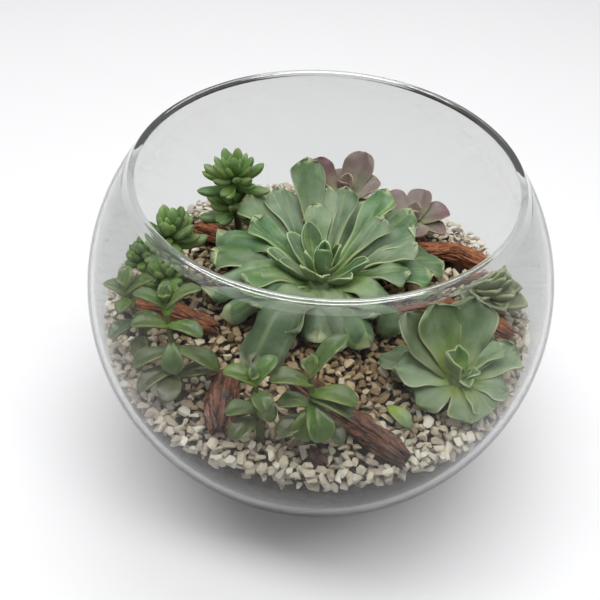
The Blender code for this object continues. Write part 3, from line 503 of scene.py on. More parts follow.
class Nodes:
    """A Principled material and short ways to add nodes to it."""

    def __init__(self, name):
        self.material = bpy.data.materials.new(name)
        self.material.use_nodes = True
        self.tree = self.material.node_tree
        self.shader = self.tree.nodes["Principled BSDF"]

    def put(self, socket, value):
        """Link a socket to another node's output, or set its value."""
        if isinstance(value, bpy.types.NodeSocket):
            self.tree.links.new(value, socket)
        elif isinstance(value, tuple) and len(value) == 3 and socket.type == "RGBA":
            socket.default_value = (*value, 1)
        else:
            socket.default_value = value

    def node(self, kind, settings=None, **inputs):
        """Add a node with settings and inputs by name."""
        made = self.tree.nodes.new("ShaderNode" + kind)
        for key, value in (settings or {}).items():
            setattr(made, key, value)
        for key, value in inputs.items():
            self.put(made.inputs[key.replace("_", " ")], value)
        return made

    def maths(self, operation, a, b=0.0):
        """One arithmetic step."""
        made = self.node("Math", {"operation": operation})
        self.put(made.inputs[0], a)
        self.put(made.inputs[1], b)
        return made.outputs[0]

    def times(self, a, b):
        """The product of two values."""
        return self.maths("MULTIPLY", a, b)

    def mix(self, factor, a, b, blend="MIX"):
        """Mix two colours."""
        made = self.tree.nodes.new("ShaderNodeMix")
        made.data_type, made.blend_type = "RGBA", blend
        self.put(made.inputs[0], factor)
        self.put(made.inputs[6], a)
        self.put(made.inputs[7], b)
        return made.outputs[2]

    def span(self, value, low, high, to_low=0.0, to_high=1.0):
        """Map a range smoothly onto another one."""
        made = self.node("MapRange", {"interpolation_type": "SMOOTHSTEP"}, Value=value, From_Min=low,
                         From_Max=high, To_Min=to_low, To_Max=to_high)
        return made.outputs[0]

    def noise(self, vector, scale, detail=3.0, rough=0.55):
        """Fractal noise, 0 to 1."""
        return self.node("TexNoise", Vector=vector, Scale=scale, Detail=detail, Roughness=rough).outputs[0]

    def place(self):
        """Where a point lies, in metres."""
        return self.node("TexCoord").outputs["Object"]

    def grain(self):
        """The piece's own map: across and along."""
        split = self.node("SeparateXYZ", Vector=self.node("UVMap", {"uv_map": "grain"}).outputs[0])
        return split.outputs[0], split.outputs[1]

    def tone(self):
        """The piece's tones: a draw for each island, its age or darkening, and its lower side."""
        tones = self.node("Attribute", {"attribute_name": "tone"})
        split = self.node("SeparateColor", Color=tones.outputs[0])
        return split.outputs[0], split.outputs[1], split.outputs[2]

    def vector(self, x, y, z):
        """Put three numbers together."""
        return self.node("CombineXYZ", X=x, Y=y, Z=z).outputs[0]

    def bump(self, *layers):
        """Bumps from (height, distance in metres, strength), one on the other."""
        below = None
        for height, distance, strength in layers:
            made = self.node("Bump", Height=height, Distance=distance, Strength=strength)
            if below:
                self.tree.links.new(below, made.inputs["Normal"])
            below = made.outputs[0]
        self.tree.links.new(below, self.shader.inputs["Normal"])

    def finish(self, colour, roughness, **values):
        """Set the shader's colour, roughness and constants."""
        self.put(self.shader.inputs["Base Color"], colour)
        self.put(self.shader.inputs["Roughness"], roughness)
        for key, value in values.items():
            self.put(self.shader.inputs[key.replace("_", " ")], value)
        return self.material


def leaf_material(name, blade_colour, base_colour, edge_colour, streak_colour, old_colour, tip_colour,
                  streaks=0.5, bloom=0.3, roughness=(0.42, 0.62), edge_from=0.9, coat=0.0):
    """A waxy leaf: paler or darker along its length, streaked, with a powdery bloom and thin margins."""
    n = Nodes(name)
    across, along = n.grain()
    draw, age, low_side = n.tone()
    place = n.place()
    to_edge = n.maths("ABSOLUTE", n.maths("SUBTRACT", n.times(across, 2.0), 1.0))
    lines = n.noise(n.vector(n.times(across, 9.0), n.times(along, 1.3), n.times(draw, 40.0)), 1.0, 4.0)
    fine_lines = n.vector(n.times(across, 34.0), n.times(along, 2.5), n.times(draw, 70.0))
    fine_lines = n.noise(fine_lines, 1.0, 2.0)
    blotches = n.noise(place, 85.0, 4.0, 0.6)
    colour = n.mix(n.span(along, 0.05, 0.72), base_colour, blade_colour)
    streaked = n.times(n.span(lines, 0.52, 0.68), n.span(draw, 0.15, 0.9, 0.1, streaks * 1.6))
    colour = n.mix(streaked, colour, streak_colour)
    dark = n.mix(1.0, colour, (0.48, 0.60, 0.40), "MULTIPLY")
    colour = n.mix(n.span(blotches, 0.48, 0.68, 0, 0.65), colour, dark)
    lined = n.mix(1.0, colour, (0.60, 0.70, 0.52), "MULTIPLY")
    colour = n.mix(n.span(fine_lines, 0.3, 0.7, 0, 0.35), colour, lined)
    colour = n.mix(n.span(age, 0.55, 1.0, 0.0, 0.75), colour, old_colour)
    powder = n.times(n.span(n.noise(place, 38.0, 5.0, 0.65), 0.36, 0.66), n.span(along, 0.05, 0.4))
    colour = n.mix(n.times(powder, bloom), colour, BLOOM)
    margin = n.times(n.span(to_edge, edge_from, 0.985), n.span(along, 0.12, 0.5))
    colour = n.mix(n.times(margin, 0.8), colour, edge_colour)
    colour = n.mix(n.span(along, 0.975, 1.0, 0, 0.7), colour, tip_colour)
    colour = n.mix(n.times(low_side, 0.45), colour, n.mix(0.5, old_colour, blade_colour))
    # Young leaves are brighter: partly their own paler tone, partly painted light lifting the shaded hearts
    # of the rosettes
    shade = n.node("HueSaturation", Color=colour, Hue=n.span(draw, 0, 1, 0.482, 0.512),
                   Saturation=n.span(n.noise(n.vector(draw, age, 3.0), 9.0), 0.3, 0.7, 0.85, 1.12),
                   Value=n.times(n.span(age, 0.0, 0.35, 1.28, 1.0),
                                 n.span(n.noise(n.vector(draw, 7.0, age), 11.0), 0.3, 0.7, 0.72, 1.18)))
    n.bump((n.noise(place, 900.0, 3.0), 0.00012, 0.5), (fine_lines, 0.00035, 0.35), (blotches, 0.0005, 0.25))
    return n.finish(shade.outputs[0], n.span(powder, 0.2, 0.9, *roughness), Subsurface_Weight=0.12,
                    Subsurface_Radius=(0.6, 1.0, 0.3), Subsurface_Scale=0.0015, Coat_Weight=coat,
                    Coat_Roughness=0.18, Sheen_Weight=bloom * 0.12, Sheen_Roughness=0.5)


def wood_material(name, light, dark, wet):
    """Fibrous red-brown wood. wet darkens it and gives it a glossy, beaded film."""
    n = Nodes(name)
    across, along = n.grain()
    draw, darkening, _ = n.tone()
    place = n.place()
    bent = n.maths("ADD", n.times(across, 26.0), n.times(n.noise(place, 45.0), 2.5))
    fibres = n.noise(n.vector(bent, n.times(along, 6.0), draw), 1.0, 5.0, 0.62)
    threads = n.noise(n.vector(n.times(bent, 4.0), n.times(along, 18.0), draw), 1.0, 3.0)
    patches = n.noise(place, 60.0, 4.0, 0.6)
    colour = n.mix(n.span(fibres, 0.36, 0.62), dark, light)
    palest = tuple(min(1.0, c * 2.2 + 0.03) for c in light)
    colour = n.mix(n.span(threads, 0.54, 0.70, 0, 0.7), colour, palest)
    colour = n.mix(n.span(patches, 0.5, 0.75, 0, 0.65), colour, dark)
    # Much darker in the deep grooves and at the torn ends
    colour = n.mix(n.span(darkening, 0.3, 1.0, 0, 0.8), colour, tuple(c * 0.35 for c in dark))
    beads = n.noise(place, 650.0, 2.0)
    film = n.span(n.noise(place, 95.0, 3.0), 0.42, 0.6)
    n.bump((patches, 0.0015, 0.4), (fibres, 0.0014, 0.9), (threads, 0.0006, 0.8),
           (beads, 0.0005, 0.15 + 0.5 * wet))
    rough = n.span(film, 0.0, 1.0, 0.78, 0.78 - 0.5 * wet)
    return n.finish(colour, rough, Coat_Weight=0.32 * wet, Coat_Roughness=0.12, Specular_IOR_Level=0.45)


def gravel_material():
    """Crushed limestone chips: cream, beige and grey, each with its own tone, and whiter at the glass.

    Painted shade makes them darker and warmer towards the middle, under the plants, and darker deep in the
    pile.
    """
    n = Nodes("pale gravel chips")
    draw, darkening, far = n.tone()
    place = n.place()
    stops = ((0.0, (0.130, 0.078, 0.040)), (0.08, (0.24, 0.165, 0.090)), (0.22, (0.36, 0.275, 0.170)),
             (0.5, (0.49, 0.405, 0.275)), (0.78, (0.62, 0.54, 0.40)), (0.93, (0.78, 0.73, 0.62)),
             (1.0, (0.30, 0.27, 0.23)))
    ramp = n.node("ValToRGB", Fac=draw)
    while len(ramp.color_ramp.elements) < len(stops):
        ramp.color_ramp.elements.new(0.5)
    for element, (at, colour) in zip(ramp.color_ramp.elements, stops):
        element.position, element.color = at, (*colour, 1)
    stain = n.noise(place, 210.0, 4.0, 0.65)
    colour = n.mix(n.span(stain, 0.5, 0.72, 0, 0.55), ramp.outputs[0],
                   n.mix(1.0, ramp.outputs[0], (0.66, 0.55, 0.40), "MULTIPLY"))
    colour = n.mix(n.span(n.noise(place, 900.0, 3.0), 0.58, 0.8, 0, 0.5), colour, (0.80, 0.76, 0.68))
    # Painted shade of the plants: darker and warmer towards the middle
    shaded_middle = n.mix(1.0, colour, (0.80, 0.70, 0.54), "MULTIPLY")
    colour = n.mix(n.span(far, 0.30, 0.80, 1.0, 0.15), colour, shaded_middle)
    colour = n.mix(n.span(far, 0.74, 0.95, 0, 0.35), colour, (0.66, 0.63, 0.56))
    # Painted shade: chips deep in the pile, and the bed under them, darken towards near black
    colour = n.mix(darkening, colour, (0.045, 0.032, 0.020))
    n.bump((stain, 0.0006, 0.5), (n.noise(place, 1500.0, 4.0, 0.6), 0.00025, 0.7))
    return n.finish(colour, n.span(stain, 0.3, 0.7, 0.7, 0.92), Specular_IOR_Level=0.35)


def earth_material(name, dark, light, scale):
    """Crumbly dark soil, or dark pebbles, by its tones and the size of its lumps."""
    n = Nodes(name)
    draw, _, _ = n.tone()
    place = n.place()
    lumps = n.noise(place, scale, 6.0, 0.68)
    crumbs = n.noise(place, scale * 5, 3.0, 0.7)
    colour = n.mix(n.span(lumps, 0.32, 0.7), dark, light)
    colour = n.mix(n.span(draw, 0, 1, 0, 0.5), colour, n.mix(1.0, colour, (1.9, 1.75, 1.6), "MULTIPLY"))
    colour = n.mix(n.span(crumbs, 0.66, 0.8, 0, 0.6), colour, tuple(min(1, c * 3) for c in light))
    n.bump((lumps, 0.002, 0.6), (crumbs, 0.0007, 0.8))
    return n.finish(colour, n.span(crumbs, 0.3, 0.7, 0.8, 0.98), Specular_IOR_Level=0.3)


def glass_material(name, tint, ior, gloss, gloss_ior, gloss_roughness=0.0):
    """Clear blown glass with a faint waviness. Light passes it on its way to what it shades."""
    n = Nodes(name)
    place = n.place()
    waves = n.noise(place, 14.0, 2.0, 0.4)
    n.bump((waves, 0.0005, 0.08))
    material = n.finish(tint, n.span(waves, 0.3, 0.7, 0.0, 0.004), Transmission_Weight=1.0, IOR=ior,
                        Coat_Weight=gloss, Coat_Roughness=gloss_roughness, Coat_IOR=gloss_ior)
    clear = n.node("BsdfTransparent", Color=GLASS_SHADE)
    mixed = n.node("MixShader", Fac=n.node("LightPath").outputs["Is Shadow Ray"])
    n.put(mixed.inputs[1], n.shader.outputs[0])
    n.put(mixed.inputs[2], clear.outputs[0])
    n.put(n.tree.nodes["Material Output"].inputs["Surface"], mixed.outputs[0])
    return material


def floor_material():
    """A matt pale table with a barely uneven surface."""
    n = Nodes("pale studio floor")
    uneven = n.noise(n.place(), 3.0, 2.0)
    n.bump((n.noise(n.place(), 400.0, 2.0), 0.0002, 0.1))
    tone = n.mix(n.span(uneven, 0.3, 0.7), FLOOR_TONE, tuple(c * 0.99 for c in FLOOR_TONE))
    return n.finish(tone, 0.7)


# ---------------------------------------------------------------- plants

def golden_leaves(count, first, reach, height, width, look):
    """Leaves by the golden angle, from the innermost to the outermost: (inner, outer) sizes."""
    rows = []
    for i in range(count):
        t = i / (count - 1)
        sizes = [low + (high - low) * t for low, high in (reach, height, width)]
        rows.append((first + GOLDEN_ANGLE * i, *sizes, look))
    return rows


def rosette(name, axis, core, leaves, material, slot, seed, bud=7, stem_radius=0.005, bulge=0.0,
            lean=(0, 0, 0)):
    """A rosette like its solid, with bud small leaves added in its heart.

    core is its dome's top over the gravel, radius and height, bulge bows the leaves down, and lean
    moves their tips.
    """
    draw = np.random.default_rng(seed)
    surface = Surface()
    x, y = axis[0] * MM, axis[1] * MM
    top = GRAVEL_TOP + core[0] * MM
    crown(surface, np.array((x, y, top)), core[1] * MM * 0.8, core[2] * MM * 0.85, draw)
    stalk(surface, [(x, y, STEM_FOOT), (x, y, GRAVEL_TOP), (x, y, top)], [stem_radius] * 3, draw)
    furthest = max(row[1] for row in leaves)
    for azimuth, reach, height, width, look in leaves:
        out = direction(azimuth)
        root = np.array((x, y, top + ROOT_RISE - 2 * ROOT_RISE * reach / LOWEST_REACH)) + out * 0.0015
        tip = np.array((x, y, GRAVEL_TOP + height * MM)) + out * reach * MM + lean
        bow = reach * (0.14 - 0.0055 * height - bulge) * MM
        low = reach / furthest * (1 - min(height, 30) / 60)
        blade(surface, root, tip, width * MM, bow, draw, float(low) * 0.8, **LOOKS[look])
    for i in range(bud):
        t = (i + 1) / bud
        out = direction(40 + GOLDEN_ANGLE * i)
        root = np.array((x, y, top + core[2] * MM * 0.55))
        tip = root + (out * (0.0010 + 0.0090 * t) + UP * (0.0100 + 0.0020 * t)) * bud / 12
        blade(surface, root, tip, (0.0040 + 0.0050 * t) * bud / 12, -0.0012, draw, 0.0, **LOOKS["bud"])
    surface.finish(name + "_leaves", material, name, slot)


def sedum(name, base, heads, material, slot, seed):
    """A leafy stem for each head, like its solid, with the smallest leaves added at the tops."""
    draw = np.random.default_rng(seed)
    surface = Surface()
    foot = np.array((base[0] * MM, base[1] * MM, STEM_FOOT))
    collar = np.array((foot[0], foot[1], GRAVEL_TOP + 0.002))
    stalk(surface, [foot, collar], [0.0028, 0.0026], draw)
    for top, count, first, length, width, low_rise, high_rise, leafy in heads:
        head = np.array(top) * MM
        middle = collar + (head - collar) * 0.5
        stalk(surface, [collar - UP * 0.004, middle, head], [0.0022, 0.002, 0.0016], draw)
        for i in range(count):
            t = i / max(count - 1, 1)
            root = collar + (head - collar) * (1 - leafy * (1 - t))
            rise = low_rise + (high_rise - low_rise) * t ** 1.5
            size = length * (1 - 0.35 * t) * MM
            tip = root + direction(first + GOLDEN_ANGLE * i, rise) * size
            finger(surface, root, tip, width * (0.88 - 0.2 * t) * MM, -0.08 * size, draw, (1 - t) * 0.8)
        for i in range(SMALL_SEDUM_LEAVES):
            t = i / (SMALL_SEDUM_LEAVES - 1)
            size = length * (0.88 - 0.45 * t) * MM
            root = collar + (head - collar) * (1 - leafy * 0.6 * (1 - t))
            tip = root + direction(first + 60 + GOLDEN_ANGLE * i, 4 + 74 * t) * size
            finger(surface, root, tip, width * (0.68 - 0.25 * t) * MM, -0.1 * size, draw, 0.3 * (1 - t))
    surface.finish(name + "_leaves", material, name, slot)


def spray(name, base, head, leaves, material, slot, seed):
    """An upright stem with boat-shaped leaves, like its solid, with a small bud at its top."""
    draw = np.random.default_rng(seed)
    surface = Surface()
    foot = np.array((base[0] * MM, base[1] * MM, STEM_FOOT))
    collar = np.array((foot[0], foot[1], GRAVEL_TOP))
    top = np.array(head) * MM
    stalk(surface, [foot, collar, collar + (top - collar) * 0.5, top], [0.0022, 0.0021, 0.0017, 0.0012], draw)
    for part, azimuth, rise, length, width in leaves:
        root = collar + (top - collar) * part - direction(azimuth) * 0.0008
        tip = root + direction(azimuth, rise) * length * MM
        blade(surface, root, tip, width * MM, 0.07 * length * MM, draw, (1 - part) * 1.3, **LOOKS["boat"])
    for i in range(3):
        tip = top + direction(30 + GOLDEN_ANGLE * i, 62) * 0.005
        blade(surface, top - UP * 0.001, tip, 0.003, 0.0, draw, 0.0, **LOOKS["sprout"])
    surface.finish(name + "_leaves", material, name, slot)


def fallen_leaf(material):
    """A dropped leaf that lies curled on the gravel."""
    surface = Surface()
    root, tip = np.array((0.0385, -0.0745, 0.1028)), np.array((0.0500, -0.0870, 0.1020))
    blade(surface, root, tip, 0.009, 0.0022, np.random.default_rng(5), 0.2, **LOOKS["fallen"])
    surface.finish("fallen_leaf_curled", material, "fallen_leaf", "leaf_pale_green")


# ---------------------------------------------------------------- driftwood

def wood_lines():
    """Name and line of each piece of wood, in metres, with its radius and flatness."""
    return [(name, np.array(points, float) * MM, radius * MM * WOOD_SWELL, flatness)
            for name, points, radius, flatness in DRIFTWOOD]


def driftwood(name, line, radius, flatness, seed, material):
    """A torn, fibrous piece of wood: deep grooves along it, and ragged ends."""
    draw = np.random.default_rng(100 + seed)
    around, steps = 88, 110
    at = np.linspace(0, 1, steps)
    runs, places = smooth_line(line, at)
    along = unit(np.gradient(places, axis=0))
    side = unit(np.cross(along, UP))
    rise = np.cross(side, along)
    offset = draw.uniform(0, 50, 3)
    turns = turns_of(around)
    rings = np.zeros((steps, around, 3))
    darkening = np.zeros((steps, around))
    for i in range(steps):
        run = at[i] * runs[-1] / radius
        end = min(at[i], 1 - at[i]) * runs[-1] / radius
        taper = min(1.0, 0.55 + 0.45 * math.sin(min(end, 1.2) / 1.2 * math.pi / 2))
        for k, a in enumerate(turns):
            c, s = math.cos(a), math.sin(a)
            broad = noise_at(c * 1.3 + offset[0], s * 1.3 + offset[1], run * 0.28 + offset[2])
            groove = 1 - abs(noise_at(c * 4.6 + offset[0], s * 4.6 + offset[2], run * 0.35)) * 2
            fibre = noise_at(c * 13 + offset[1], s * 13, run * 1.1)
            reach = radius * taper * (0.97 + 0.28 * broad - 0.40 * max(groove, 0) ** 3 + 0.11 * fibre)
            torn = noise_at(c * 5 + offset[2], s * 5, 9.0) + 0.7 * noise_at(c * 15, s * 15 + offset[0], 5.0)
            shove = torn * radius * 0.75 * (1 if at[i] > 0.5 else -1) * max(0.0, 1 - end / 1.6)
            rings[i, k] = places[i] + side[i] * reach * c + rise[i] * reach * flatness * s + along[i] * shove
            # darkening: most in the deepest grooves; the ends get 0.6
            darkening[i, k] = min(1.0, max(groove, 0) ** 4 * 0.9)
    caps = []
    for index, sign in ((0, -1), (-1, 1)):
        middle = rings[index].mean(axis=0)
        for part in ((0.72, 0.35) if index else (0.35, 0.72)):
            ring = middle + (rings[index] - middle) * part
            ring = ring - along[index] * sign * radius * (1 - part) * 0.5
            caps.append(ring)
    rings = np.concatenate((np.array(caps[:2]), rings, np.array(caps[2:])))
    darkening = np.concatenate((np.full((2, around), 0.6), darkening, np.full((2, around), 0.6)))
    length = np.concatenate(((0, 0), at, (1, 1))) * runs[-1]
    surface = Surface()
    surface.tube(rings, (turns[None] / FULL_TURN, length[:, None] / 0.05), (seed / 7, darkening, 0))
    surface.finish(name + "_fibres", material, name, "driftwood")


# ---------------------------------------------------------------- gravel, soil and pebbles

def chip_shapes(draw):
    """Angular chips: hulls of a few points on a flattened, boxy ball, half a unit in reach."""
    shapes = []
    for _ in range(CHIP_SHAPES):
        points = unit(draw.normal(size=(11, 3)))
        points = np.sign(points) * np.abs(points) ** 0.75
        points = points / np.abs(points).max(axis=0)
        bm = bmesh.new()
        for point in points:
            bm.verts.new(point)
        hull = bmesh.ops.convex_hull(bm, input=bm.verts[:])
        loose = [v for v in hull["geom_interior"] if isinstance(v, bmesh.types.BMVert)]
        bmesh.ops.delete(bm, geom=loose, context="VERTS")
        bmesh.ops.bevel(bm, geom=bm.edges[:], offset=0.06, segments=1, affect="EDGES", profile=0.6)
        bmesh.ops.triangulate(bm, faces=bm.faces[:])
        bmesh.ops.remove_doubles(bm, verts=bm.verts[:], dist=0.09)
        bmesh.ops.triangulate(bm, faces=bm.faces[:])
        bm.verts.ensure_lookup_table()
        bm.verts.index_update()
        shapes.append((np.array([v.co[:] for v in bm.verts]), [[v.index for v in f.verts] for f in bm.faces]))
        bm.free()
    return shapes


class Bed:
    """A map of heights that chips settle on, one after the other. Cells at CLOSED take none."""
    CELL = 0.0006
    CLOSED = 1.0

    def __init__(self):
        self.reach = 0.123
        self.size = int(2 * self.reach / self.CELL) + 1
        line = (np.arange(self.size) * self.CELL) - self.reach
        self.x, self.y = np.meshgrid(line, line, indexing="ij")
        r = np.hypot(self.x, self.y)
        inner = INNER_RADIUS - 0.0004
        wall = INNER_CENTRE - np.sqrt(np.maximum(inner ** 2 - r ** 2, 0))
        wall[r >= inner] = self.CLOSED
        self.top = self.surface("gravel")
        under = np.where(r < BED_EDGE, self.top - bed_drop(r), SOIL_TOP + 0.0006)
        self.height = np.maximum(under, wall)

    def surface(self, node):
        """The height of a node's solid in each cell, or its edge's height beyond it."""
        solid = BVHTree.FromObject(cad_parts[node], bpy.context.evaluated_depsgraph_get())
        top = np.full(self.x.shape, GRAVEL_TOP - 0.0012)
        for i, j in np.ndindex(top.shape):
            hit = solid.ray_cast(Vector((self.x[i, j], self.y[i, j], 0.2)), Vector((0, 0, -1)))[0]
            if hit and hit.z > GRAVEL_TOP - 0.005:
                top[i, j] = hit.z
        return top

    def top_at(self, x, y):
        """The gravel's surface at a place."""
        return float(self.top[tuple(int((v + self.reach) / self.CELL) for v in (x, y))])

    def block(self, points, radius):
        """Keep chips off the discs round some points."""
        for x, y in points:
            self.height[np.hypot(self.x - x, self.y - y) < radius] = self.CLOSED

    def window(self, x, y, sizes, turn):
        """The cells under a chip, and its half height over each of them."""
        reach = max(sizes[:2])
        i0, i1 = (int((v - reach + self.reach) / self.CELL) for v in (x, y))
        span = int(2 * reach / self.CELL) + 2
        cells = (slice(max(i0, 0), i0 + span), slice(max(i1, 0), i1 + span))
        dx, dy = self.x[cells] - x, self.y[cells] - y
        a = (dx * math.cos(turn) + dy * math.sin(turn)) / sizes[0]
        b = (dy * math.cos(turn) - dx * math.sin(turn)) / sizes[1]
        far = a * a + b * b
        return cells, np.where(far < 1, sizes[2] * np.sqrt(np.maximum(1 - far, 0)), -1.0)

    def rest(self, x, y, sizes, turn):
        """How high a chip's middle comes to rest."""
        cells, half = self.window(x, y, sizes, turn)
        inside = half >= 0
        return float((self.height[cells] + half)[inside].max()) if inside.any() else self.CLOSED

    def settle(self, x, y, z, sizes, turn):
        """Add a chip to the heights."""
        cells, half = self.window(x, y, sizes, turn)
        here = self.height[cells]
        here[half >= 0] = np.maximum(here, z + half)[half >= 0]


def bed_drop(radius):
    """How far the firm bed lies below the gravel's surface, at a distance from the axis."""
    slope = np.clip((radius - BED_SHOULDER) / (BED_EDGE - BED_SHOULDER), 0, 1)
    return BED_DEPTH + BED_SLOPE * slope


def gravel(material, draw, wood, stems):
    """Thousands of chips, each settled on those under it, over a bed in painted shade that shows between
    them.
    """
    bed = Bed()
    for _, line, radius, _ in wood:
        for a, b in zip(line, line[1:]):
            under = [a + (b - a) * t for t in np.linspace(0, 1, 12)]
            bed.block([p[:2] for p in under if np.linalg.norm(line[[0, -1]] - p, axis=1).min() > radius],
                      radius * 0.72)
    bed.block([stem[:2] for stem in stems], 0.0022)
    shapes = chip_shapes(draw)
    pieces = {"gravel_middle": Surface(), "gravel_chips": Surface(), "gravel_at_glass": Surface()}
    misses = 0
    while misses < MISSES_WHEN_FULL:
        size = SMALLEST_CHIP + CHIP_RANGE * draw.beta(2.0, 3.0)
        sizes = tuple(size * draw.uniform(*parts) for parts in ((1.1, 1.35), (0.72, 1.0), (0.45, 0.75)))
        best = (bed.CLOSED, 0, 0, 0)
        for _ in range(CHIP_TRIES):
            far, turn = FURTHEST_CHIP * math.sqrt(draw.uniform()), draw.uniform(0, FULL_TURN)
            x, y, spin = far * math.cos(turn), far * math.sin(turn), draw.uniform(0, math.pi)
            best = min(best, (bed.rest(x, y, sizes, spin), x, y, spin))
        z, x, y, spin = best
        if z + sizes[2] * 0.6 > bed.top_at(x, y) + 0.001 + 0.0008 * noise_at(x * 45, y * 45, 1):
            misses += 1
            continue
        misses = 0
        bed.settle(x, y, z, (sizes[0] * 0.92, sizes[1] * 0.92, sizes[2] * 0.85), spin)
        points, faces = shapes[int(draw.integers(len(shapes)))]
        tilt = Matrix.Rotation(draw.normal(0, 0.30), 3, "X") @ Matrix.Rotation(draw.normal(0, 0.30), 3, "Y")
        turned = Matrix.Rotation(spin, 3, "Z") @ tilt
        placed = (points * np.array(sizes)) @ np.array(turned).T + (x, y, z)
        reach = np.linalg.norm(placed - (0, 0, INNER_CENTRE), axis=1).max() - (INNER_RADIUS - 0.0003)
        if reach > 0:
            placed = placed - unit(np.array((x, y, z - INNER_CENTRE))) * reach
        far = math.hypot(x, y)
        key = ("gravel_middle" if far < MIDDLE_REACH else "gravel_chips" if far < BED_SHOULDER
               else "gravel_at_glass")
        # How deep a chip lies under the surface, for the painted shade of the pile's depths
        depth = min(max((bed.top_at(x, y) - 0.0012 - z) / 0.0038, 0.0), 1.0) * 0.85 * (far < BED_SHOULDER)
        pieces[key].add(placed, faces, points[:, :2].T, (draw.uniform(), depth, far / BOWL_RADIUS))
    underlay(pieces["gravel_chips"], bed)
    for name, surface in pieces.items():
        surface.finish(name, material, "gravel", "pale_gravel", flat=True)


def underlay(surface, bed):
    """The bed under the loose chips, painted nearly black as the shade between them."""
    steps, around = 46, 160
    radii = np.linspace(0.0005, BED_EDGE, steps)
    turns = turns_of(around)
    rings = np.empty((steps, around, 3))
    for i, r in enumerate(radii):
        for k, a in enumerate(turns):
            x, y = r * math.cos(a), r * math.sin(a)
            dust = 0.0009 * noise_at(x * 260, y * 260, 0)
            rings[i, k] = (x, y, bed.top_at(x, y) - bed_drop(r) - 0.001 + dust)
    skirt = rings[-1] * (1, 1, 0) + (0, 0, SOIL_TOP + 0.001)
    rings = np.concatenate((rings, skirt[None]))
    # A darkening of 0.85 paints the bed in deep shade
    surface.tube(rings, (rings[..., 0] * 20, rings[..., 1] * 20), (0.25, 0.85, 0))


def wall_radius(z, shrink):
    """The radius of the bowl's inside at a height, less an amount."""
    return math.sqrt(max((INNER_RADIUS - shrink) ** 2 - (z - INNER_CENTRE) ** 2, 1e-8))


def soil(material):
    """Crumbly soil that presses on the glass in places and falls short of it in others."""
    around, rows = 420, 56
    turns = turns_of(around)
    levels = np.linspace(DRAINAGE_TOP + 0.0005, SOIL_TOP, rows)
    rings = np.zeros((rows, around, 3))
    for i, z in enumerate(levels):
        for k, a in enumerate(turns):
            c, s = math.cos(a), math.sin(a)
            spot = Vector((c * 0.115, s * 0.115, z))
            crumb = noise.noise(spot * 420) * 0.6 + noise.noise(spot * 1100) * 0.4
            r = wall_radius(z, 0.0006) - 0.0016 * max(0.0, crumb + 0.1)
            rings[i, k] = (r * c, r * s, z + 0.0012 * noise.noise(spot * 300 + Vector((9, 0, 0))) * (0 < i))
    lids = []
    for z, parts in ((levels[0], (0.02, 0.6)), (levels[-1], (0.95, 0.6, 0.02))):
        for part in parts:
            lids.append(rings[0 if z == levels[0] else -1] * (part, part, 0) + (0, 0, z))
    rings = np.concatenate((np.array(lids[:2]), rings, np.array(lids[2:])))
    surface = Surface()
    surface.tube(rings, (turns[None], np.arange(len(rings))[:, None] / rows), (0, 0, 0))
    surface.finish("soil_crumbs", material, "potting_soil", "soil")


def pebbles(material, draw):
    """Dark drainage pebbles, packed in rows against the glass, in rings from the glass inwards."""
    bm = bmesh.new()
    bmesh.ops.create_icosphere(bm, subdivisions=3, radius=1)
    bm.verts.index_update()
    ball = np.array([v.co[:] for v in bm.verts])
    faces = [[v.index for v in f.verts] for f in bm.faces]
    bm.free()
    surface = Surface()
    depth = DRAINAGE_TOP - FLOOR
    for row, part in enumerate(PEBBLE_ROWS):
        level = FLOOR + depth * part
        size = math.pi * wall_radius(level, 0.001) / PEBBLES_AROUND
        for ring in range(PEBBLE_RINGS):
            far = wall_radius(level, 0.0008) - size * (0.95 + 1.8 * ring)
            count = round(PEBBLES_AROUND * far / wall_radius(level, size))
            for i in range(count):
                a = FULL_TURN * (i + 0.5 * (row % 2) + draw.uniform(-0.06, 0.06)) / count
                scale = size * draw.uniform(0.86, 1.05, 3) * (1.0, 0.95, 0.86)
                waves = np.sin(ball * draw.uniform(2, 4, 3) + draw.uniform(0, 6, 3))
                lumps = 1 + 0.12 * waves.sum(axis=1) / 3
                turn = Matrix.Rotation(draw.uniform(0, 6), 3, "Z")
                turn = turn @ Matrix.Rotation(draw.normal(0, 0.4), 3, "X")
                placed = (ball * lumps[:, None] * scale) @ np.array(turn).T
                placed += (far * math.cos(a), far * math.sin(a), level + draw.uniform(-0.0004, 0.0004))
                placed[:, 2] = np.clip(placed[:, 2], FLOOR + 0.0002, DRAINAGE_TOP + 0.0003)
                surface.add(placed, faces, ball[:, :2].T, (draw.uniform(), 0, 0))
    surface.finish("pebbles_dark", material, "drainage_pebbles", "dark_pebbles")


# ---------------------------------------------------------------- glass

def arc(centre_z, radius, start, end, count):
    """Points (radius, height) on a circle about a point of the axis, by latitudes in radians."""
    return [(radius * math.cos(a), centre_z + radius * math.sin(a)) for a in np.linspace(start, end, count)]


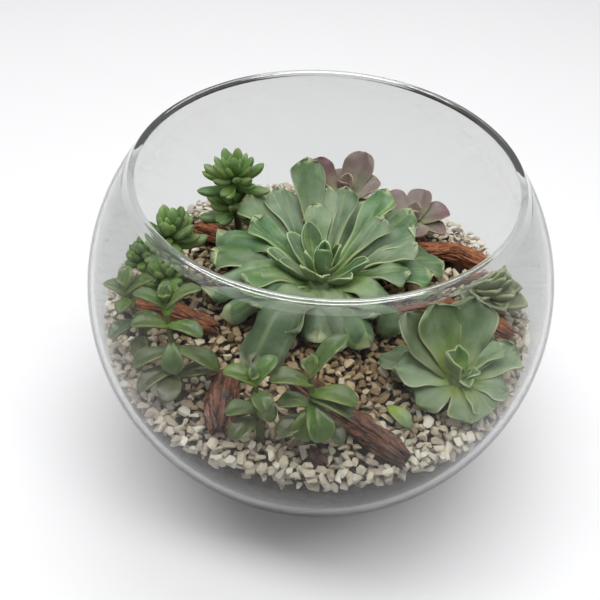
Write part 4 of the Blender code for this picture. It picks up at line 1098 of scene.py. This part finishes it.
def bowl():
    """The blown bowl: one turned profile with a rolled, fire-polished rim and a slightly hollow base."""
    mouth = math.radians(MOUTH_ANGLE)
    lowest = math.asin((FLOOR - INNER_CENTRE) / INNER_RADIUS)
    inner = arc(INNER_CENTRE, INNER_RADIUS, lowest + 0.03, mouth - math.radians(2.0), 64)
    distance = BOWL_RADIUS - RIM_DEPTH
    bead = (distance * math.cos(mouth), BOWL_CENTRE + distance * math.sin(mouth))
    rim = [(bead[0] + RIM_BEAD * math.cos(a), bead[1] + RIM_BEAD * math.sin(a))
           for a in np.radians(np.linspace(MOUTH_ANGLE + 215, MOUTH_ANGLE - 20, 18))]
    bottom = -math.acos(BASE_RADIUS / BOWL_RADIUS)
    outer = arc(BOWL_CENTRE, BOWL_RADIUS, mouth - math.radians(2.5), bottom + 0.03, 72)
    foot = [(BASE_RADIUS + 0.0012, 0.0009), (BASE_RADIUS, 0.0003), (BASE_RADIUS - 0.0015, 0)]
    hollow = [(BASE_RADIUS - 0.006, 0), (BASE_RADIUS - 0.010, 0.0006), (BASE_RADIUS * 0.5, 0.0014),
              (0.0004, 0.0016)]
    floor_edge = [(0.0004, FLOOR), (0.020, FLOOR), (inner[0][0] - 0.0045, FLOOR + 0.0001),
                  (inner[0][0] - 0.0015, FLOOR + 0.0009)]
    profile = np.array(floor_edge + inner + rim + outer + foot + hollow)
    around = 192
    turns = turns_of(around)
    rings = np.stack((profile[:, :1] * np.cos(turns), profile[:, :1] * np.sin(turns),
                      np.repeat(profile[:, 1:], around, axis=1)), axis=-1)
    surface = Surface()
    surface.tube(rings[::-1], (turns[None] / FULL_TURN, np.arange(len(profile))[:, None] / 100), (0, 0, 0))
    piece = surface.finish("bowl_glass", glass_material("clear blown glass", GLASS_TINT, 1.15, 0.1, 1.5),
                           "glass_bowl", "clear_glass")
    piece.data.materials.append(glass_material("fire-polished rim", RIM_TINT, 1.10, 1.0, 2.6, 0.08))
    lowest_rim = min(height for _, height in rim)
    for face in piece.data.polygons:
        face.material_index = int(face.center.z > lowest_rim)


# ---------------------------------------------------------------- studio

def area_light(name, place, size, power):
    """A soft rectangular light that faces the plants."""
    data = bpy.data.lights.new(name, "AREA")
    data.shape, data.size, data.size_y, data.energy = "RECTANGLE", *size, power
    light = bpy.data.objects.new(name, data)
    light.location = place
    light.rotation_euler = (Vector(place) - Vector(LIGHT_AIM)).to_track_quat("Z", "Y").to_euler()
    bpy.context.scene.collection.objects.link(light)


def studio():
    """A pale floor under soft lights, in a pale room that is brighter above and behind."""
    bm = bmesh.new()
    bmesh.ops.create_grid(bm, x_segments=8, y_segments=8, size=12)
    mesh = bpy.data.meshes.new("studio_floor")
    bm.to_mesh(mesh)
    bm.free()
    floor = bpy.data.objects.new("studio_floor", mesh)
    mesh.materials.append(floor_material())
    bpy.context.scene.collection.objects.link(floor)

    area_light("front overhead softbox", (-0.05, -0.22, 1.1), (1.8, 0.30), 10.4)
    area_light("back overhead softbox", (0.15, 0.45, 1.15), (0.9, 0.7), 3.8)

    world = bpy.data.worlds.new("studio room")
    bpy.context.scene.world = world
    world.use_nodes = True
    tree = world.node_tree
    lift = tree.nodes.new("ShaderNodeVectorMath")
    lift.operation = "DOT_PRODUCT"
    lift.inputs[1].default_value = (0, 0.35, 0.8)
    tree.links.new(tree.nodes.new("ShaderNodeTexCoord").outputs["Generated"], lift.inputs[0])
    ramp = tree.nodes.new("ShaderNodeValToRGB")
    tree.links.new(lift.outputs["Value"], ramp.inputs[0])
    stops = ((0.0, (0.88, 0.88, 0.89, 1)), (0.45, (0.95, 0.95, 0.97, 1)))
    for element, (at, colour) in zip(ramp.color_ramp.elements, stops):
        element.position, element.color = at, colour
    tree.links.new(ramp.outputs[0], tree.nodes["Background"].inputs["Color"])
    tree.nodes["Background"].inputs["Strength"].default_value = 0.52


def camera():
    """The view: over the rim from the front, turned a little to the left and rolled a little."""
    elevation, pitch, yaw, roll = (math.radians(v) for v in (41.6, 42.63, 1.58, -3.2))
    place = Vector((0, -math.cos(elevation), math.sin(elevation))) * VIEW_DISTANCE + UP_TO_VIEW
    forward = Vector((-math.sin(yaw) * math.cos(pitch), math.cos(yaw) * math.cos(pitch), -math.sin(pitch)))
    right = forward.cross(Vector((0, 0, 1))).normalized()
    above = right.cross(forward)
    across = right * math.cos(roll) - above * math.sin(roll)
    upward = right * math.sin(roll) + above * math.cos(roll)
    data = bpy.data.cameras.new("camera")
    data.lens, data.sensor_width, data.clip_start = 54.26, 36, 0.01
    made = bpy.data.objects.new("camera", data)
    made.matrix_world = Matrix.Translation(place) @ Matrix((across, upward, -forward)).transposed().to_4x4()
    bpy.context.scene.collection.objects.link(made)
    bpy.context.scene.camera = made


# ---------------------------------------------------------------- the whole terrarium

def plants():
    """Every plant, in its own colours."""
    blue = leaf_material("blue-green leaf", (0.080, 0.160, 0.060), (0.20, 0.32, 0.06), (0.42, 0.50, 0.24),
                         (0.23, 0.33, 0.08), (0.095, 0.140, 0.040), (0.45, 0.50, 0.28), 0.7, 0.36)
    pale = leaf_material("pale green leaf", (0.120, 0.190, 0.070), (0.24, 0.34, 0.06), (0.42, 0.45, 0.24),
                         (0.21, 0.28, 0.09), (0.12, 0.155, 0.055), (0.42, 0.42, 0.24), 0.45, 0.38)
    grey = leaf_material("grey-green leaf", (0.320, 0.360, 0.235), (0.16, 0.22, 0.07), (0.34, 0.36, 0.20),
                         (0.24, 0.28, 0.15), (0.27, 0.30, 0.18), (0.30, 0.28, 0.16), 0.3, 0.5)
    jade = leaf_material("jade leaf", (0.110, 0.205, 0.035), (0.15, 0.26, 0.05), (0.17, 0.27, 0.08),
                         (0.15, 0.24, 0.07), (0.14, 0.20, 0.09), (0.10, 0.13, 0.05), 0.35, 0.16,
                         (0.34, 0.5), 0.97)
    glossy = leaf_material("bright green leaf", (0.064, 0.118, 0.016), (0.13, 0.22, 0.035),
                           (0.22, 0.25, 0.08), (0.11, 0.16, 0.03), (0.075, 0.060, 0.020),
                           (0.22, 0.19, 0.08), 0.35, 0.08, (0.26, 0.4), 0.93, 0.3)
    purple = leaf_material("purple leaf", (0.190, 0.105, 0.110), (0.20, 0.22, 0.10), (0.30, 0.26, 0.15),
                           (0.25, 0.15, 0.145), (0.13, 0.075, 0.08), (0.30, 0.10, 0.12), 0.5, 0.22,
                           (0.34, 0.5), 0.9)
    rosette("rosette_centre", CENTRE_AXIS, (12, 17, 11), CENTRE_LEAVES, blue, "leaf_blue_green", 1, bud=12,
            stem_radius=0.0075)
    rosette("rosette_front_right", FRONT_RIGHT_AXIS, (7, 9, 8), FRONT_RIGHT_LEAVES, pale, "leaf_pale_green",
            2)
    ball = golden_leaves(20, 20, (3, 20), (28, 8), (10, 17), "scale")
    rosette("rosette_back_right", BACK_RIGHT_AXIS, (8, 10, 8), ball, grey, "leaf_grey_green", 3, bulge=0.1,
            lean=(0.006, -0.006, 0))
    for seed, (name, axis, leaves) in enumerate((
            ("rosette_purple_left", PURPLE_LEFT_AXIS, PURPLE_LEFT_LEAVES),
            ("rosette_purple_right", PURPLE_RIGHT_AXIS, PURPLE_RIGHT_LEAVES))):
        rosette(name, axis, (10, 5, 5), leaves, purple, "leaf_purple", 4 + seed, bud=6, stem_radius=0.0028)
    sedum("sedum_back_left", SEDUM_BACK_BASE, SEDUM_BACK_HEADS, jade, "leaf_bright_green", 6)
    sedum("sedum_left", SEDUM_LEFT_BASE, SEDUM_LEFT_HEADS, jade, "leaf_grey_green", 7)
    for seed, (name, base, head, leaves) in enumerate(SPRAYS):
        spray(name, base, head, leaves, glossy, "leaf_bright_green", 8 + seed)
    fallen_leaf(pale)


def main():
    """Dress the frame, light it and set the camera."""
    plants()
    dry = wood_material("dry driftwood", (0.330, 0.120, 0.045), (0.095, 0.030, 0.014), 0.0)
    damp = wood_material("damp driftwood", (0.200, 0.068, 0.028), (0.020, 0.008, 0.004), 1.0)
    wood = wood_lines()
    for seed, (name, line, radius, flatness) in enumerate(wood):
        driftwood(name, line, radius, flatness, seed, damp if "front" in name or "twig" in name else dry)
    stems = [CENTRE_AXIS, FRONT_RIGHT_AXIS, BACK_RIGHT_AXIS, PURPLE_LEFT_AXIS, PURPLE_RIGHT_AXIS,
             SEDUM_BACK_BASE, SEDUM_LEFT_BASE] + [row[1] for row in SPRAYS]
    gravel(gravel_material(), np.random.default_rng(11), wood, [(s[0] * MM, s[1] * MM) for s in stems])
    soil(earth_material("potting soil", (0.018, 0.013, 0.010), (0.105, 0.074, 0.052), 300.0))
    pebbles(earth_material("drainage pebbles", (0.030, 0.028, 0.026), (0.10, 0.095, 0.088), 120.0),
            np.random.default_rng(12))
    bowl()
    studio()
    camera()
    bpy.context.scene.view_settings.view_transform = "Standard"


main()
